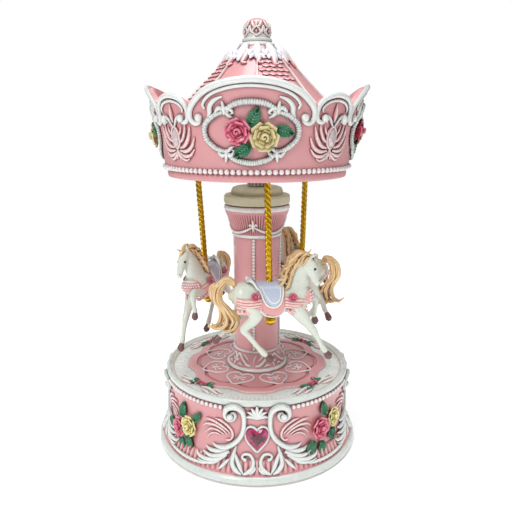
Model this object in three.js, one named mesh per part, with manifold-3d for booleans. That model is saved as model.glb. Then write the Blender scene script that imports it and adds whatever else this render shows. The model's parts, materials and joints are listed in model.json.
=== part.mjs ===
// Carousel music box: a hollow cast base with a wind-up movement, a fixed column, and a canopy that turns
// with three horses hung from cranks. Millimetres, +Z up, origin at the centre of the foot ring, front is -Y.
import * as THREE from 'three';
import { ConvexGeometry } from 'three/addons/geometries/ConvexGeometry.js';
import { mergeVertices } from 'three/addons/utils/BufferGeometryUtils.js';
import Module from 'manifold-3d';

const wasm = await Module();
wasm.setup();

// Driving dimensions
const GAP = 0.3; // between faces that rest on each other
const ROUND = 40; // facets round the large castings
const FOOT_R = 65;
const WALL_R = 57;
const BASE_INNER_R = 53.5;
const DECK_Z = 48;
const DECK_T = 4;
const COVER_Z = 14; // the underside plate is set this high, so that the key stays inside the base
const COVER_T = 2;
const BOSS_CIRCLE_R = 46; // three bosses hang under the deck for the cover's screws
const COLUMN_R = 14;
const COLUMN_BORE_R = 10;
const COLUMN_TOP_Z = 154;
const CAP_FLANGE_R = 20.4;
const CAP_BOSS_R = 16;
const CAP_TOP_Z = 164.6;
const SHAFT_R = 1.5;
const CANOPY_TURN = -3; // degrees that the canopy's arches are turned from the base's front
const CROWN_BOTTOM_Z = 171;
const CROWN_VALLEY_Z = 207;
const CROWN_WALL = 3;
const ARCH_HALF_DEG = 31; // half the width of a large arch
const ARCH_RISE = 15.5;
const SMALL_ARCH_RISE = 9;
const FLOOR_Z = 178.5;
const FLOOR_T = 2;
const POLE_CIRCLE_R = 40.8;
const POLE_R = 1.65;
const POLE_TURN = 7.67; // degrees from the front to the first pole
const BALL_R = 3.3;
const CRANK_R = 3;
const CRANK_Z = 191.2;
const POLE_LENGTH = 98.3; // from the crank pin down to the lower end
const GEAR_PITCH = 2.356; // tooth spacing along the pitch circle
const SUN_TEETH = 24;
const PINION_TEETH = 12;
const WHEEL_TEETH = 20; // worm wheel on the pinned cylinder
const SUN_R = SUN_TEETH * GEAR_PITCH / (2 * Math.PI);
const PINION_R = PINION_TEETH * GEAR_PITCH / (2 * Math.PI);
const BARREL_TOP_Z = 29;
const CYLINDER_Z = BARREL_TOP_Z + 1.1 + PINION_R;
const CYLINDER_R = 6.2;
const WHEEL_R = 6;
const WORM_PITCH = 2 * Math.PI * WHEEL_R / WHEEL_TEETH;
const WORM_R = 1.8;
const WHEEL_X = 41;
const SCREW_HEAD_T = 1.3;

const rad = THREE.MathUtils.degToRad;

// Materials
function paint(color, roughness = 0.5, metalness = 0) {
  return new THREE.MeshStandardMaterial({ color, roughness, metalness });
}
const pinkResin = paint(0xedb0b4, 0.45);
const pearlWhite = paint(0xe4e9dd, 0.35);
const creamPlastic = paint(0xb5aa84, 0.5);
const whitePlastic = paint(0xe6e8e2, 0.5);
const blackPlastic = paint(0x2b2b2c, 0.6);
const goldBrass = paint(0xc9a227, 0.25, 1);
const zincCast = paint(0xa3a29c, 0.5, 1);
const brass = paint(0xc2a35a, 0.35, 1);
const steel = paint(0xb9bcc0, 0.3, 1);
const pinkCrystal = paint(0xd8578f, 0.08);
const clearCrystal = paint(0xe6e9ee, 0.05);

// Solids: three.js geometries go to manifold-3d for joins and cuts, and come back
function solidOf(geometry) {
  const bare = geometry.index ? geometry.toNonIndexed() : geometry.clone();
  bare.deleteAttribute('normal');
  bare.deleteAttribute('uv');
  const merged = mergeVertices(bare, 1e-4);
  return new wasm.Manifold(new wasm.Mesh({
    numProp: 3,
    vertProperties: merged.attributes.position.array,
    triVerts: new Uint32Array(merged.index.array),
  }));
}

function geometryOf(solid) {
  const made = solid.getMesh();
  return new THREE.BufferGeometry()
    .setAttribute('position', new THREE.BufferAttribute(new Float32Array(made.vertProperties), 3))
    .setIndex(new THREE.BufferAttribute(new Uint32Array(made.triVerts), 1));
}

function join(...geometries) {
  return geometryOf(geometries.map(solidOf).reduce((a, b) => a.add(b)));
}

function cut(geometry, ...tools) {
  return geometryOf(tools.map(solidOf).reduce((a, b) => a.subtract(b), solidOf(geometry)));
}

// Plain shapes, standing on +Z
function turned(profile, facets = ROUND) {
  const points = profile.map(([r, z]) => new THREE.Vector2(r, z));
  return new THREE.LatheGeometry(points, facets).rotateX(Math.PI / 2);
}

function rod(r, z0, z1, facets = 12, rTop = r) {
  const cylinder = new THREE.CylinderGeometry(rTop, r, z1 - z0, facets).rotateX(Math.PI / 2);
  return cylinder.translate(0, 0, (z0 + z1) / 2);
}

function block(x0, x1, y0, y1, z0, z1) {
  return new THREE.BoxGeometry(x1 - x0, y1 - y0, z1 - z0)
    .translate((x0 + x1) / 2, (y0 + y1) / 2, (z0 + z1) / 2);
}

function ring(rIn, rOut, z0, z1, facets = ROUND) {
  return turned([[rIn, z0], [rOut, z0], [rOut, z1], [rIn, z1], [rIn, z0]], facets);
}

// A slab's outline on XY, pushed up in Z
function slab(points, z0, z1, holes = []) {
  const shape = new THREE.Shape(points.map(([x, y]) => new THREE.Vector2(x, y)));
  for (const hole of holes) shape.holes.push(new THREE.Path(hole.map(([x, y]) => new THREE.Vector2(x, y))));
  return new THREE.ExtrudeGeometry(shape, { depth: z1 - z0, bevelEnabled: false }).translate(0, 0, z0);
}

function circlePoints(r, count, x = 0, y = 0) {
  return Array.from({ length: count }, (_, i) => {
    const a = 2 * Math.PI * i / count;
    return [x + r * Math.cos(a), y + r * Math.sin(a)];
  });
}

// A spur gear's outline: root, flank, tip, flank for each tooth, with a tooth centred on angle 0
function gearOutline(teeth, r, addendum, dedendum, rootShare, tipShare) {
  const points = [];
  for (let i = 0; i < teeth; i++) {
    const middle = 2 * Math.PI * i / teeth;
    const step = 2 * Math.PI / teeth;
    points.push([r - dedendum, middle - step * rootShare / 2], [r + addendum, middle - step * tipShare / 2]);
    points.push([r + addendum, middle + step * tipShare / 2], [r - dedendum, middle + step * rootShare / 2]);
  }
  return points.map(([radius, a]) => [radius * Math.cos(a), radius * Math.sin(a)]);
}

// A face gear: radial teeth standing on a disc, with a gap centred on angle 0
function faceGear(z, rIn, rOut, thickness, boreR) {
  const toothHigh = 1.8;
  const body = [ring(boreR, rOut, z - thickness, z, SUN_TEETH)];
  for (let i = 0; i < SUN_TEETH; i++) {
    const foot = 0.45;
    const tip = 0.24;
    const points = [];
    for (const x of [rIn, rOut - 0.2]) {
      for (const y of [-1, 1]) {
        points.push(new THREE.Vector3(x, y * foot * x / SUN_R, z - 0.4));
        points.push(new THREE.Vector3(x, y * tip * x / SUN_R, z + toothHigh));
      }
    }
    body.push(new ConvexGeometry(points).rotateZ(2 * Math.PI * (i + 0.5) / SUN_TEETH));
  }
  return join(...body);
}

// A pinion on the X axis from x0 to x1, with a tooth pointing straight down
function pinion(x0, x1) {
  return slab(gearOutline(PINION_TEETH, PINION_R, 0.85, 0.95, 0.5, 0.2), 0, x1 - x0)
    .rotateY(Math.PI / 2).translate(x0, 0, 0);
}

const group = new THREE.Group();

function addTo(parent, name, geometry, material) {
  const mesh = new THREE.Mesh(geometry, material);
  mesh.name = name;
  parent.add(mesh);
  return mesh;
}

// The three cover screws sit away from the movement
const bossCentres = [60, 180, 300].map((deg) => [
  BOSS_CIRCLE_R * Math.cos(rad(deg)), BOSS_CIRCLE_R * Math.sin(rad(deg))]);
const plateScrewCentres = [[-12, -10], [-12, 20], [30, -10]];

function holes(centres, r, z0, z1) {
  return centres.map(([x, y]) => rod(r, z0, z1, 8).translate(x, y, 0));
}

function coverHoles() {
  return holes(bossCentres, 1.2 + GAP, COVER_Z - 1, COVER_Z + COVER_T + 5);
}

// Base: one hollow casting with a round foot, a flared wall, a rim and the deck
function baseShell() {
  const outside = [[BASE_INNER_R + 3, 0], [63, 0], [FOOT_R, 1.6], [FOOT_R, 4.4], [63, 6.2], [61.4, 6.6],
    [58.4, 13], [WALL_R, 20], [56.6, 36], [WALL_R, 44], [58.7, 46.4], [59, 49.6], [57, 50.6], [55.4, DECK_Z],
    [8, DECK_Z]];
  const inside = [[8, DECK_Z - DECK_T], [BASE_INNER_R, DECK_Z - DECK_T], [BASE_INNER_R, 4],
    [BASE_INNER_R + 3, 0]];
  const shell = turned([...outside, ...inside]);
  const bossZ = COVER_Z + COVER_T + GAP;
  const bosses = bossCentres.map(([x, y]) => rod(4, bossZ, DECK_Z - 1, 12).translate(x, y, 0));
  return cut(join(shell, ...bosses), ...coverHoles());
}

// A heart-shaped cut stone set in the wall; its table is proud of its edge
function heartStone() {
  const half = 7;
  const rows = [[0, -1], [0.55, -0.42], [1, 0.22], [0.92, 0.72], [0.52, 0.95], [0, 0.66]];
  const outline = [...rows, ...rows.slice(1, 5).reverse().map(([x, y]) => [-x, y])];
  return slab(outline.map(([x, y]) => [x * half, y * half]), 0, 2.6).rotateX(Math.PI / 2);
}

addTo(group, 'base_shell', baseShell(), pinkResin);
addTo(group, 'bottom_cover', cut(
  rod(BASE_INNER_R - GAP, COVER_Z, COVER_Z + COVER_T, ROUND),
  rod(4, COVER_Z - 1, COVER_Z + COVER_T + 1, 16), ...coverHoles(),
  ...holes(plateScrewCentres, 1.2 + GAP, COVER_Z - 1, COVER_Z + COVER_T + 1)), blackPlastic);
for (let i = 0; i < 4; i++) {
  const name = ['front', 'right', 'back', 'left'][i];
  const holder = new THREE.Group();
  holder.rotation.z = i * Math.PI / 2;
  const stone = addTo(holder, `heart_gem_${name}`, heartStone(), pinkCrystal);
  stone.position.set(0, -WALL_R - GAP, 27);
  group.add(holder);
}

// A pan-head screw: its seat is at z = 0, its slotted head below, its shank up
function screw(shankR, shankL) {
  const headR = 2.1 * shankR;
  return cut(join(rod(headR, -SCREW_HEAD_T, 0, 12), rod(shankR, -0.2, shankL, 8)),
    block(-2 * headR, 2 * headR, -0.35, 0.35, -2 * SCREW_HEAD_T, -0.7));
}

bossCentres.forEach(([x, y], i) => {
  const part = addTo(group, `cover_screw_${i + 1}`, screw(1.2, 6), steel);
  part.position.set(x, y, COVER_Z - GAP);
});

// Movement: a cast plate carries the spring barrel, the pinned cylinder, the comb and the air brake
const PLATE_Z = COVER_Z + COVER_T + 0.4;
const PLATE_T = 2;
const WORM_Y = -(WHEEL_R + WORM_R);
const BARREL_BOTTOM_Z = PLATE_Z + PLATE_T + 1.4;
const SHAFT_FOOT_Z = 32.4;
const PIN_HOLE_R = 1.3 + GAP;
const BRAKE_TOP_Z = CYLINDER_Z + 4.4;
const COMB_Z = CYLINDER_Z - 0.5 + GAP;
const COMB_T = 1.2;
const combScrewCentres = [[20, 17.6], [34, 17.6]];

function bedplate() {
  const plate = slab([[-16, -14], [46, -14], [46, 24], [-16, 24]], PLATE_Z, PLATE_Z + PLATE_T);
  const top = PLATE_Z + PLATE_T - 0.1;
  const innerBearing = block(12.4, 14.4, -3, 3, top, CYLINDER_Z + 3);
  const outerBearing = block(43.6, 45.6, -3, 3, top, CYLINDER_Z + 3);
  const combBlock = block(16, 38, 15, 21, top, CYLINDER_Z - 0.5);
  const brakeFoot = block(WHEEL_X - 3, WHEEL_X + 3, WORM_Y - 3, WORM_Y + 3, top, top + 1.6);
  const brakePost = block(WHEEL_X - 2, WHEEL_X + 2, -14, -13, top, BRAKE_TOP_Z + 2);
  const brakeArm = block(WHEEL_X - 2, WHEEL_X + 2, -14, WORM_Y + 2, BRAKE_TOP_Z + GAP, BRAKE_TOP_Z + 2);
  const axle = rod(PIN_HOLE_R, 10, 48, 12).rotateY(Math.PI / 2).translate(0, 0, CYLINDER_Z);
  const barrelHole = rod(3, PLATE_Z - 1, PLATE_Z + PLATE_T + 1, 16);
  const brakeHole = rod(1, PLATE_Z + 1, BRAKE_TOP_Z + 3, 8).translate(WHEEL_X, WORM_Y, 0);
  const combHoles = holes(combScrewCentres, 1 + GAP, CYLINDER_Z - 5, CYLINDER_Z);
  const footHoles = holes(plateScrewCentres, 1.2 + GAP, PLATE_Z - 1, PLATE_Z + PLATE_T + 1);
  return cut(join(plate, innerBearing, outerBearing, combBlock, brakeFoot, brakePost, brakeArm),
    axle, barrelHole, brakeHole, ...combHoles, ...footHoles);
}

// The comb: a screwed-down back and eighteen tongues that reach the cylinder
function comb() {
  const tongues = 18;
  const back = block(16.2, 37.8, 13.5, 20.8, COMB_Z, COMB_Z + COMB_T);
  const teeth = [];
  for (let i = 0; i < tongues; i++) {
    const x = 16.2 + (i + 0.5) * 21.6 / tongues;
    teeth.push(block(x - 0.4, x + 0.4, CYLINDER_R + 0.8, 13.7, COMB_Z + 0.3, COMB_Z + 0.9));
  }
  return cut(join(back, ...teeth), ...holes(combScrewCentres, 1 + GAP, COMB_Z - 1, COMB_Z + 2));
}

// The pinned cylinder turns on X: pinion, drum with a few rows of pins, worm wheel, axle
function pinnedCylinder() {
  const axle = rod(1.3, 7.2, 47, 12).rotateY(Math.PI / 2);
  const drum = rod(CYLINDER_R, 16, 38, 24).rotateY(Math.PI / 2);
  const wheel = slab(gearOutline(WHEEL_TEETH, WHEEL_R, 0.5, 0.6, 0.5, 0.26), 0, 2)
    .rotateY(Math.PI / 2).translate(WHEEL_X - 1, 0, 0);
  const pins = [];
  for (let i = 0; i < 9; i++) {
    const x = 16.8 + i * 2.4;
    pins.push(block(x - 0.2, x + 0.2, -0.2, 0.2, CYLINDER_R - 0.3, CYLINDER_R + 0.4)
      .rotateX(rad(((i * 137) % 300) + 30)));
  }
  return join(axle, drum, wheel, pinion(7.6, 10.4), ...pins);
}

// A worm's thread: its section is wound round Z and leaves a gap facing +Y at mid height
function wormThread(turns, facets) {
  const section = [[0.7, -0.26], [2.1, -0.16], [2.1, 0.16], [0.7, 0.26]];
  const points = [];
  const index = [];
  const count = turns * facets;
  for (let i = 0; i <= count; i++) {
    const turn = i / facets - turns / 2;
    const a = 2 * Math.PI * turn - Math.PI / 2;
    for (const [r, z] of section) points.push(r * Math.cos(a), r * Math.sin(a), z + WORM_PITCH * turn);
  }
  for (let i = 0; i < count; i++) {
    for (let k = 0; k < 4; k++) {
      const a = 4 * i + k;
      const b = 4 * i + (k + 1) % 4;
      index.push(a, a + 4, b + 4, a, b + 4, b);
    }
  }
  const end = 4 * count;
  index.push(0, 1, 2, 0, 2, 3, end, end + 2, end + 1, end, end + 3, end + 2);
  const geometry = new THREE.BufferGeometry()
    .setAttribute('position', new THREE.Float32BufferAttribute(points, 3));
  geometry.setIndex(index);
  return geometry;
}

// The air brake: a worm on an upright spindle, with two blades that beat the air
function airBrake() {
  const thread = wormThread(3, 12).translate(0, 0, CYLINDER_Z);
  const spindle = rod(1, CYLINDER_Z - 4, BRAKE_TOP_Z, 12);
  const pivot = rod(0.7, PLATE_Z + PLATE_T + 0.6, BRAKE_TOP_Z + 1.4, 8);
  const blades = block(-4.6, 4.6, -0.4, 0.4, PLATE_Z + PLATE_T + 2.6, CYLINDER_Z - 6.8);
  return join(thread, spindle, pivot, blades);
}

addTo(group, 'movement_plate', bedplate(), zincCast);
addTo(group, 'tuned_comb', comb(), steel);
combScrewCentres.forEach(([x, y], i) => {
  const part = addTo(group, `comb_screw_${i + 1}`, screw(1, 4).rotateX(Math.PI), steel);
  part.position.set(x, y, COMB_Z + COMB_T + GAP);
});
plateScrewCentres.forEach(([x, y], i) => {
  const part = addTo(group, `plate_screw_${i + 1}`, screw(1.2, 3.6).rotateX(Math.PI), steel);
  part.position.set(x, y, PLATE_Z + PLATE_T + GAP);
});
const cylinderHolder = new THREE.Group();
cylinderHolder.position.z = CYLINDER_Z;
addTo(cylinderHolder, 'pinned_cylinder', pinnedCylinder(), brass);
group.add(cylinderHolder);
const brake = addTo(group, 'air_brake', airBrake(), whitePlastic);
brake.position.set(WHEEL_X, WORM_Y, 0);

// The winding key: a stem and two looped wings, hung under the plate
function windingKey() {
  const wings = [];
  for (const side of [-1, 1]) {
    wings.push(slab(circlePoints(6, 16, side * 7.2, 0), 0, 2, [circlePoints(3, 10, side * 7.2, 0)]));
  }
  const web = slab([[-3, -3], [3, -3], [3, 3], [-3, 3]], 0, 2);
  const bow = join(...wings, web).rotateX(Math.PI / 2).translate(0, 1, 7.4);
  return join(bow, rod(2.4, 6, BARREL_BOTTOM_Z + 4.6, 12));
}
addTo(group, 'winding_key', windingKey(), brass);

// Column: a hollow casting with a ringed foot and a flared capital
function column() {
  const z0 = DECK_Z + GAP;
  return turned([[COLUMN_BORE_R, z0], [19.2, z0], [19.6, z0 + 1.6], [18.8, z0 + 3], [17, z0 + 4.2],
    [15.2, 58], [14.8, 60], [15.4, 61], [COLUMN_R, 62.4], [COLUMN_R, 133.4], [15.6, 134.4], [15.6, 136.4],
    [15.2, 138], [17.2, 144], [19.6, 149.6], [20.4, 150.4], [20.4, COLUMN_TOP_Z], [COLUMN_BORE_R, COLUMN_TOP_Z],
    [COLUMN_BORE_R, z0]], 24);
}
addTo(group, 'column', column(), pinkResin);
const capZ = COLUMN_TOP_Z + GAP;
addTo(group, 'column_cap', turned([[3.4, capZ - 5], [COLUMN_BORE_R - GAP, capZ - 5],
  [COLUMN_BORE_R - GAP, capZ], [19.8, capZ], [CAP_FLANGE_R, capZ + 0.8], [CAP_FLANGE_R, capZ + 4.6],
  [19.8, capZ + 5.4], [CAP_BOSS_R, capZ + 5.6], [CAP_BOSS_R, CAP_TOP_Z - 2.6], [15, CAP_TOP_Z - 0.7],
  [13, CAP_TOP_Z], [3.4, CAP_TOP_Z], [3.4, capZ - 5]], 24), creamPlastic);
addTo(group, 'upper_bush', ring(SHAFT_R + GAP, 3.1, capZ - 5, CAP_TOP_Z - 0.5, 12), brass);
addTo(group, 'lower_bush', ring(SHAFT_R + GAP, 8 - 2 * GAP, DECK_Z - DECK_T, DECK_Z, 12), brass);

// The fixed sun gear: a ribbed post on the cap, with a face gear on top inside the canopy
const SUN_Z = CRANK_Z - PINION_R - 1.1;
function sunGear() {
  const ribs = slab(gearOutline(16, 5.5, 0.4, 0.5, 0.6, 0.5), CAP_TOP_Z + GAP, SUN_Z - 2,
    [circlePoints(SHAFT_R + 0.6, 16)]);
  return join(ribs, faceGear(SUN_Z, 7.4, 11, 2.4, SHAFT_R + 0.6));
}
addTo(group, 'sun_gear', sunGear(), whitePlastic).rotation.z = rad(POLE_TURN);

// Canopy: everything here turns with the drive shaft
const canopy = new THREE.Group();
group.add(canopy);
function springBarrel() {
  const drum = rod(12, BARREL_BOTTOM_Z, BARREL_TOP_Z - 2, 32);
  const collar = rod(2.8, BARREL_TOP_Z - 3, SHAFT_FOOT_Z, 12);
  const keyHole = rod(2.4 + GAP, BARREL_BOTTOM_Z - 1, BARREL_BOTTOM_Z + 5, 12);
  return cut(join(drum, faceGear(BARREL_TOP_Z, 7.4, 11, 2.4, 1), collar), keyHole);
}
addTo(canopy, 'spring_barrel', springBarrel(), brass);
addTo(canopy, 'drive_shaft', rod(SHAFT_R, SHAFT_FOOT_Z + GAP, 210, 12), steel);

// Height of the crown's scalloped edge above its valleys, for an angle from the middle of a large arch
function scallop(deg) {
  const d = Math.abs(((deg % 90) + 135) % 90 - 45);
  if (d < ARCH_HALF_DEG) return ARCH_RISE * Math.sqrt(1 - (d / ARCH_HALF_DEG) ** 2);
  return SMALL_ARCH_RISE * Math.sqrt(1 - ((45 - d) / (45 - ARCH_HALF_DEG)) ** 2);
}

// The crown flares as it rises; the outside radius at a height
function crownRadius(z) {
  const t = (z - 178) / (222 - 178);
  return 55.2 + 8.6 * Math.max(0, t) ** 1.25;
}

// The crown: a ring wall whose rings of vertices follow the scalloped edge
function crown() {
  const facets = 72;
  const lower = [[49.6, CROWN_BOTTOM_Z], [52.6, CROWN_BOTTOM_Z], [53.8, 173.4], [54.4, 177.6]];
  const levels = 3;
  const rings = [];
  for (let i = 0; i < facets; i++) {
    const deg = 360 * i / facets;
    const top = CROWN_VALLEY_Z + scallop(deg);
    const wall = [];
    for (let k = 0; k <= levels; k++) {
      const z = 180 + (top - 180) * k / levels;
      wall.push([crownRadius(z), z]);
    }
    const inner = wall.map(([r, z]) => [r - CROWN_WALL, z]).reverse();
    rings.push([...lower, ...wall, ...inner, [52, FLOOR_Z], [49.6, FLOOR_Z]]);
  }
  const points = rings.flatMap((profile, i) => {
    const a = rad(360 * i / facets - 90);
    return profile.map(([r, z]) => [r * Math.cos(a), r * Math.sin(a), z]);
  });
  const per = rings[0].length;
  const index = [];
  for (let i = 0; i < facets; i++) {
    for (let k = 0; k < per; k++) {
      const a = i * per + k;
      const b = i * per + (k + 1) % per;
      const c = ((i + 1) % facets) * per + (k + 1) % per;
      const d = ((i + 1) % facets) * per + k;
      index.push(a, d, c, a, c, b);
    }
  }
  const geometry = new THREE.BufferGeometry()
    .setAttribute('position', new THREE.Float32BufferAttribute(points.flat(), 3));
  geometry.setIndex(index);
  return geometry.rotateZ(rad(CANOPY_TURN));
}
addTo(canopy, 'canopy_crown', crown(), pinkResin);

const ROOF_EDGE_R = 55.8;
const ROOF_EDGE_Z = 204;
const ROOF_TOP_Z = 245.6;
addTo(canopy, 'canopy_roof', turned([[6.3, 214.6], [14, 214.6], [ROOF_EDGE_R - 8, ROOF_EDGE_Z - 1.6],
  [ROOF_EDGE_R, ROOF_EDGE_Z - 1.6], [ROOF_EDGE_R, ROOF_EDGE_Z], [47.5, 208.4], [37.4, 217.7], [14, 241.9],
  [10.4, ROOF_TOP_Z], [6.3, ROOF_TOP_Z], [6.3, 214.6]]), pinkResin);
addTo(canopy, 'canopy_hub', cut(join(rod(6, 200, 232, 16), rod(12, 212, 214.3, 24)),
  rod(SHAFT_R + GAP, 199, 210.3, 12)), whitePlastic);
addTo(canopy, 'finial', turned([[0, 236], [6, 236], [6, ROOF_TOP_Z + GAP], [10.4, ROOF_TOP_Z + GAP],
  [9.4, 247.4], [8, 248], [7.6, 250], [8.4, 251.4], [8.6, 255.4], [7.2, 258], [4.6, 260.2], [0, 261]], 20), pinkResin);

const BRACKET_SCREW_R = 24;

// The floor that closes the crown: a centre hole, three pole slots and three screw holes
function canopyFloor() {
  const slots = [];
  const screwHoles = [];
  for (let i = 0; i < 3; i++) {
    const turn = rad(POLE_TURN + 120 * i);
    slots.push(block(-7.6, 7.6, -POLE_CIRCLE_R - 4, -POLE_CIRCLE_R + 4, FLOOR_Z - 1, FLOOR_Z + FLOOR_T + 1)
      .rotateZ(turn));
    screwHoles.push(rod(1.2 + GAP, FLOOR_Z - 1, FLOOR_Z + FLOOR_T + 1, 8).translate(0, -BRACKET_SCREW_R, 0)
      .rotateZ(turn));
  }
  const plate = rod(51.5, FLOOR_Z + GAP, FLOOR_Z + FLOOR_T, ROUND);
  return cut(plate, rod(12.6, FLOOR_Z - 1, FLOOR_Z + FLOOR_T + 1, 24), ...slots, ...screwHoles);
}
addTo(canopy, 'canopy_floor', canopyFloor(), whitePlastic);

// A crank: pinion on the sun gear, axle, disc and pin, all one moulding along its own X
function crank(phase) {
  const pinShift = [0, CRANK_R * Math.cos(phase), CRANK_R * Math.sin(phase)];
  const disc = rod(CRANK_R + 2, 35, 37.2, 20).rotateY(Math.PI / 2);
  const axle = rod(1.4, 7.8, 35.4, 12).rotateY(Math.PI / 2);
  const pin = rod(1.1, 37, 43.4, 12).rotateY(Math.PI / 2).translate(...pinShift);
  const clip = rod(1.9, 43, 43.8, 12).rotateY(Math.PI / 2).translate(...pinShift);
  return join(pinion(7.8, 10.6), axle, disc, pin, clip);
}

// A bracket stands on the floor and carries the crank's axle in two ears
function bracket() {
  const foot = block(14, 33, -5, 5, FLOOR_Z + FLOOR_T + GAP, FLOOR_Z + FLOOR_T + 2);
  const ears = [block(14, 16, -4, 4, FLOOR_Z + FLOOR_T + 1, CRANK_Z + 4),
    block(31, 33, -4, 4, FLOOR_Z + FLOOR_T + 1, CRANK_Z + 4)];
  const axleHole = rod(1.4 + GAP, 12, 35, 12).rotateY(Math.PI / 2).translate(0, 0, CRANK_Z);
  const screwHole = rod(1.2 + GAP, FLOOR_Z, CRANK_Z - 4, 8).translate(BRACKET_SCREW_R, 0, 0);
  return cut(join(foot, ...ears), axleHole, screwHole);
}

// A pole: an eye on the crank pin, and a rod down to the ball
function pole() {
  const eye = rod(3.2, -1.5, 1.5, 16).rotateY(Math.PI / 2);
  const shank = rod(POLE_R, -POLE_LENGTH, -2, 12);
  return cut(join(eye, shank), rod(1.1 + GAP, -3, 3, 12).rotateY(Math.PI / 2));
}

// Horse: s runs towards the head, r outwards from the column, z up from the middle of the ball
function limb(points) {
  const hulls = [];
  for (let i = 0; i + 1 < points.length; i++) {
    const cloud = [];
    for (const [s, r, z, radius] of points.slice(i, i + 2)) {
      const Ball = radius > 3 ? THREE.IcosahedronGeometry : THREE.OctahedronGeometry;
      const ball = new Ball(radius, 0);
      const p = ball.attributes.position;
      for (let k = 0; k < p.count; k++) {
        cloud.push(new THREE.Vector3(p.getX(k) + s, p.getY(k) - r, p.getZ(k) + z));
      }
    }
    hulls.push(new ConvexGeometry(cloud));
  }
  return hulls;
}

const neckAndHead = [[15, 0, 15, 7.5], [18, 0.5, 27, 6], [22.5, 1.5, 35, 5.2], [26, 2.5, 29, 3.4],
  [28, 3, 22.6, 2.4]];
const torso = [[-14, 0, 15.6, 8.2], [0, 0, 13.2, 9], [14, 0, 13, 8.8]];
const foreReach = [[15, 4, 8, 4.4], [24.6, 4, -6.4, 2.3], [31, 4, -18.6, 1.7], [34.4, 4, -22.6, 2.1]];
const foreTuck = [[16, -4, 10, 4], [28, -4.6, 11, 2.5], [27.4, -4.6, 3, 1.7], [28, -4.6, -1.4, 2.1]];
const hindUnder = [[-12, 3.4, 12, 6], [-10, 4, 6, 4.6], [-16.6, 4, -3, 2.4], [-5.6, 4, -19.4, 1.7],
  [-1.4, 4, -22.6, 2.1]];
const hindBack = [[-15, -3.4, 12, 5.4], [-16, -4, 6, 4], [-24.5, -4, -1, 2.4], [-29, -4, -8, 1.8],
  [-33, -4, -12.6, 2.1]];
const tail = [[-18.6, 0, 20, 3], [-26, 0, 22.4, 3.4], [-30, 0, 14, 3.8], [-25, 1, 3, 3.6],
  [-30.6, 1, -1.4, 2.4]];

function horse() {
  const solids = [torso, neckAndHead, foreReach, foreTuck, hindUnder, hindBack, tail].flatMap(limb);
  const saddle = block(-7.6, 7.6, -8.8, 8.8, 14, 21.4);
  return cut(join(...solids, saddle), rod(POLE_R + GAP, -20, 40, 12));
}

// Three stations: crank, bracket, pole, horse and ball, each set in its own turned group
const stations = [
  { phase: 100, leanIn: 0, leanForward: 1.5 },
  { phase: 90, leanIn: 1.5, leanForward: 0 },
  { phase: 0, leanIn: 4, leanForward: 0 },
];
stations.forEach(({ phase, leanIn, leanForward }, i) => {
  const station = new THREE.Group();
  station.rotation.z = rad(POLE_TURN + 120 * i - 90); // its own X points outwards
  group.add(station);
  addTo(station, `crank_bracket_${i + 1}`, bracket(), whitePlastic);
  const crankMesh = addTo(station, `crank_${i + 1}`, crank(rad(phase)), whitePlastic);
  crankMesh.position.z = CRANK_Z;
  const hanger = new THREE.Group(); // origin on the crank pin, X outwards, Y forwards
  const pinAngle = rad(phase);
  hanger.position.set(POLE_CIRCLE_R, CRANK_R * Math.cos(pinAngle), CRANK_Z + CRANK_R * Math.sin(pinAngle));
  hanger.rotation.set(rad(leanForward), rad(leanIn), 0);
  station.add(hanger);
  addTo(hanger, `pole_${i + 1}`, pole(), goldBrass);
  const horseMesh = addTo(hanger, `horse_${i + 1}`, horse(), pearlWhite);
  horseMesh.rotation.z = Math.PI / 2;
  horseMesh.position.z = -POLE_LENGTH - BALL_R - GAP;
  const ball = addTo(hanger, `pole_ball_${i + 1}`, new THREE.SphereGeometry(BALL_R, 12, 8), goldBrass);
  ball.rotation.x = Math.PI / 2;
  ball.position.z = -POLE_LENGTH - BALL_R - GAP;
});

for (let i = 0; i < 3; i++) {
  const holder = new THREE.Group();
  holder.rotation.z = rad(POLE_TURN + 120 * i);
  const part = addTo(holder, `bracket_screw_${i + 1}`, screw(1.2, 3.8), steel);
  part.position.set(0, -BRACKET_SCREW_R, FLOOR_Z);
  canopy.add(holder);
}

// A pointed oval crystal in the middle of each small arch
for (let i = 0; i < 4; i++) {
  const holder = new THREE.Group();
  holder.rotation.z = rad(CANOPY_TURN + 90 * i + 45);
  const stone = slab(
    [[0, -5], [1.8, -2.6], [2.2, 0], [1.6, 3], [0, 5], [-1.6, 3], [-2.2, 0], [-1.8, -2.6]], 0, 1.6)
    .rotateX(Math.PI / 2);
  const part = addTo(holder, `canopy_gem_${i + 1}`, stone, clearCrystal);
  part.rotation.x = rad(10.5);
  part.position.set(0, -crownRadius(194) - GAP, 194);
  canopy.add(holder);
}

export default group;
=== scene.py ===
import bpy
import json
import math
import numpy as np
from mathutils import Matrix, Vector


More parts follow.
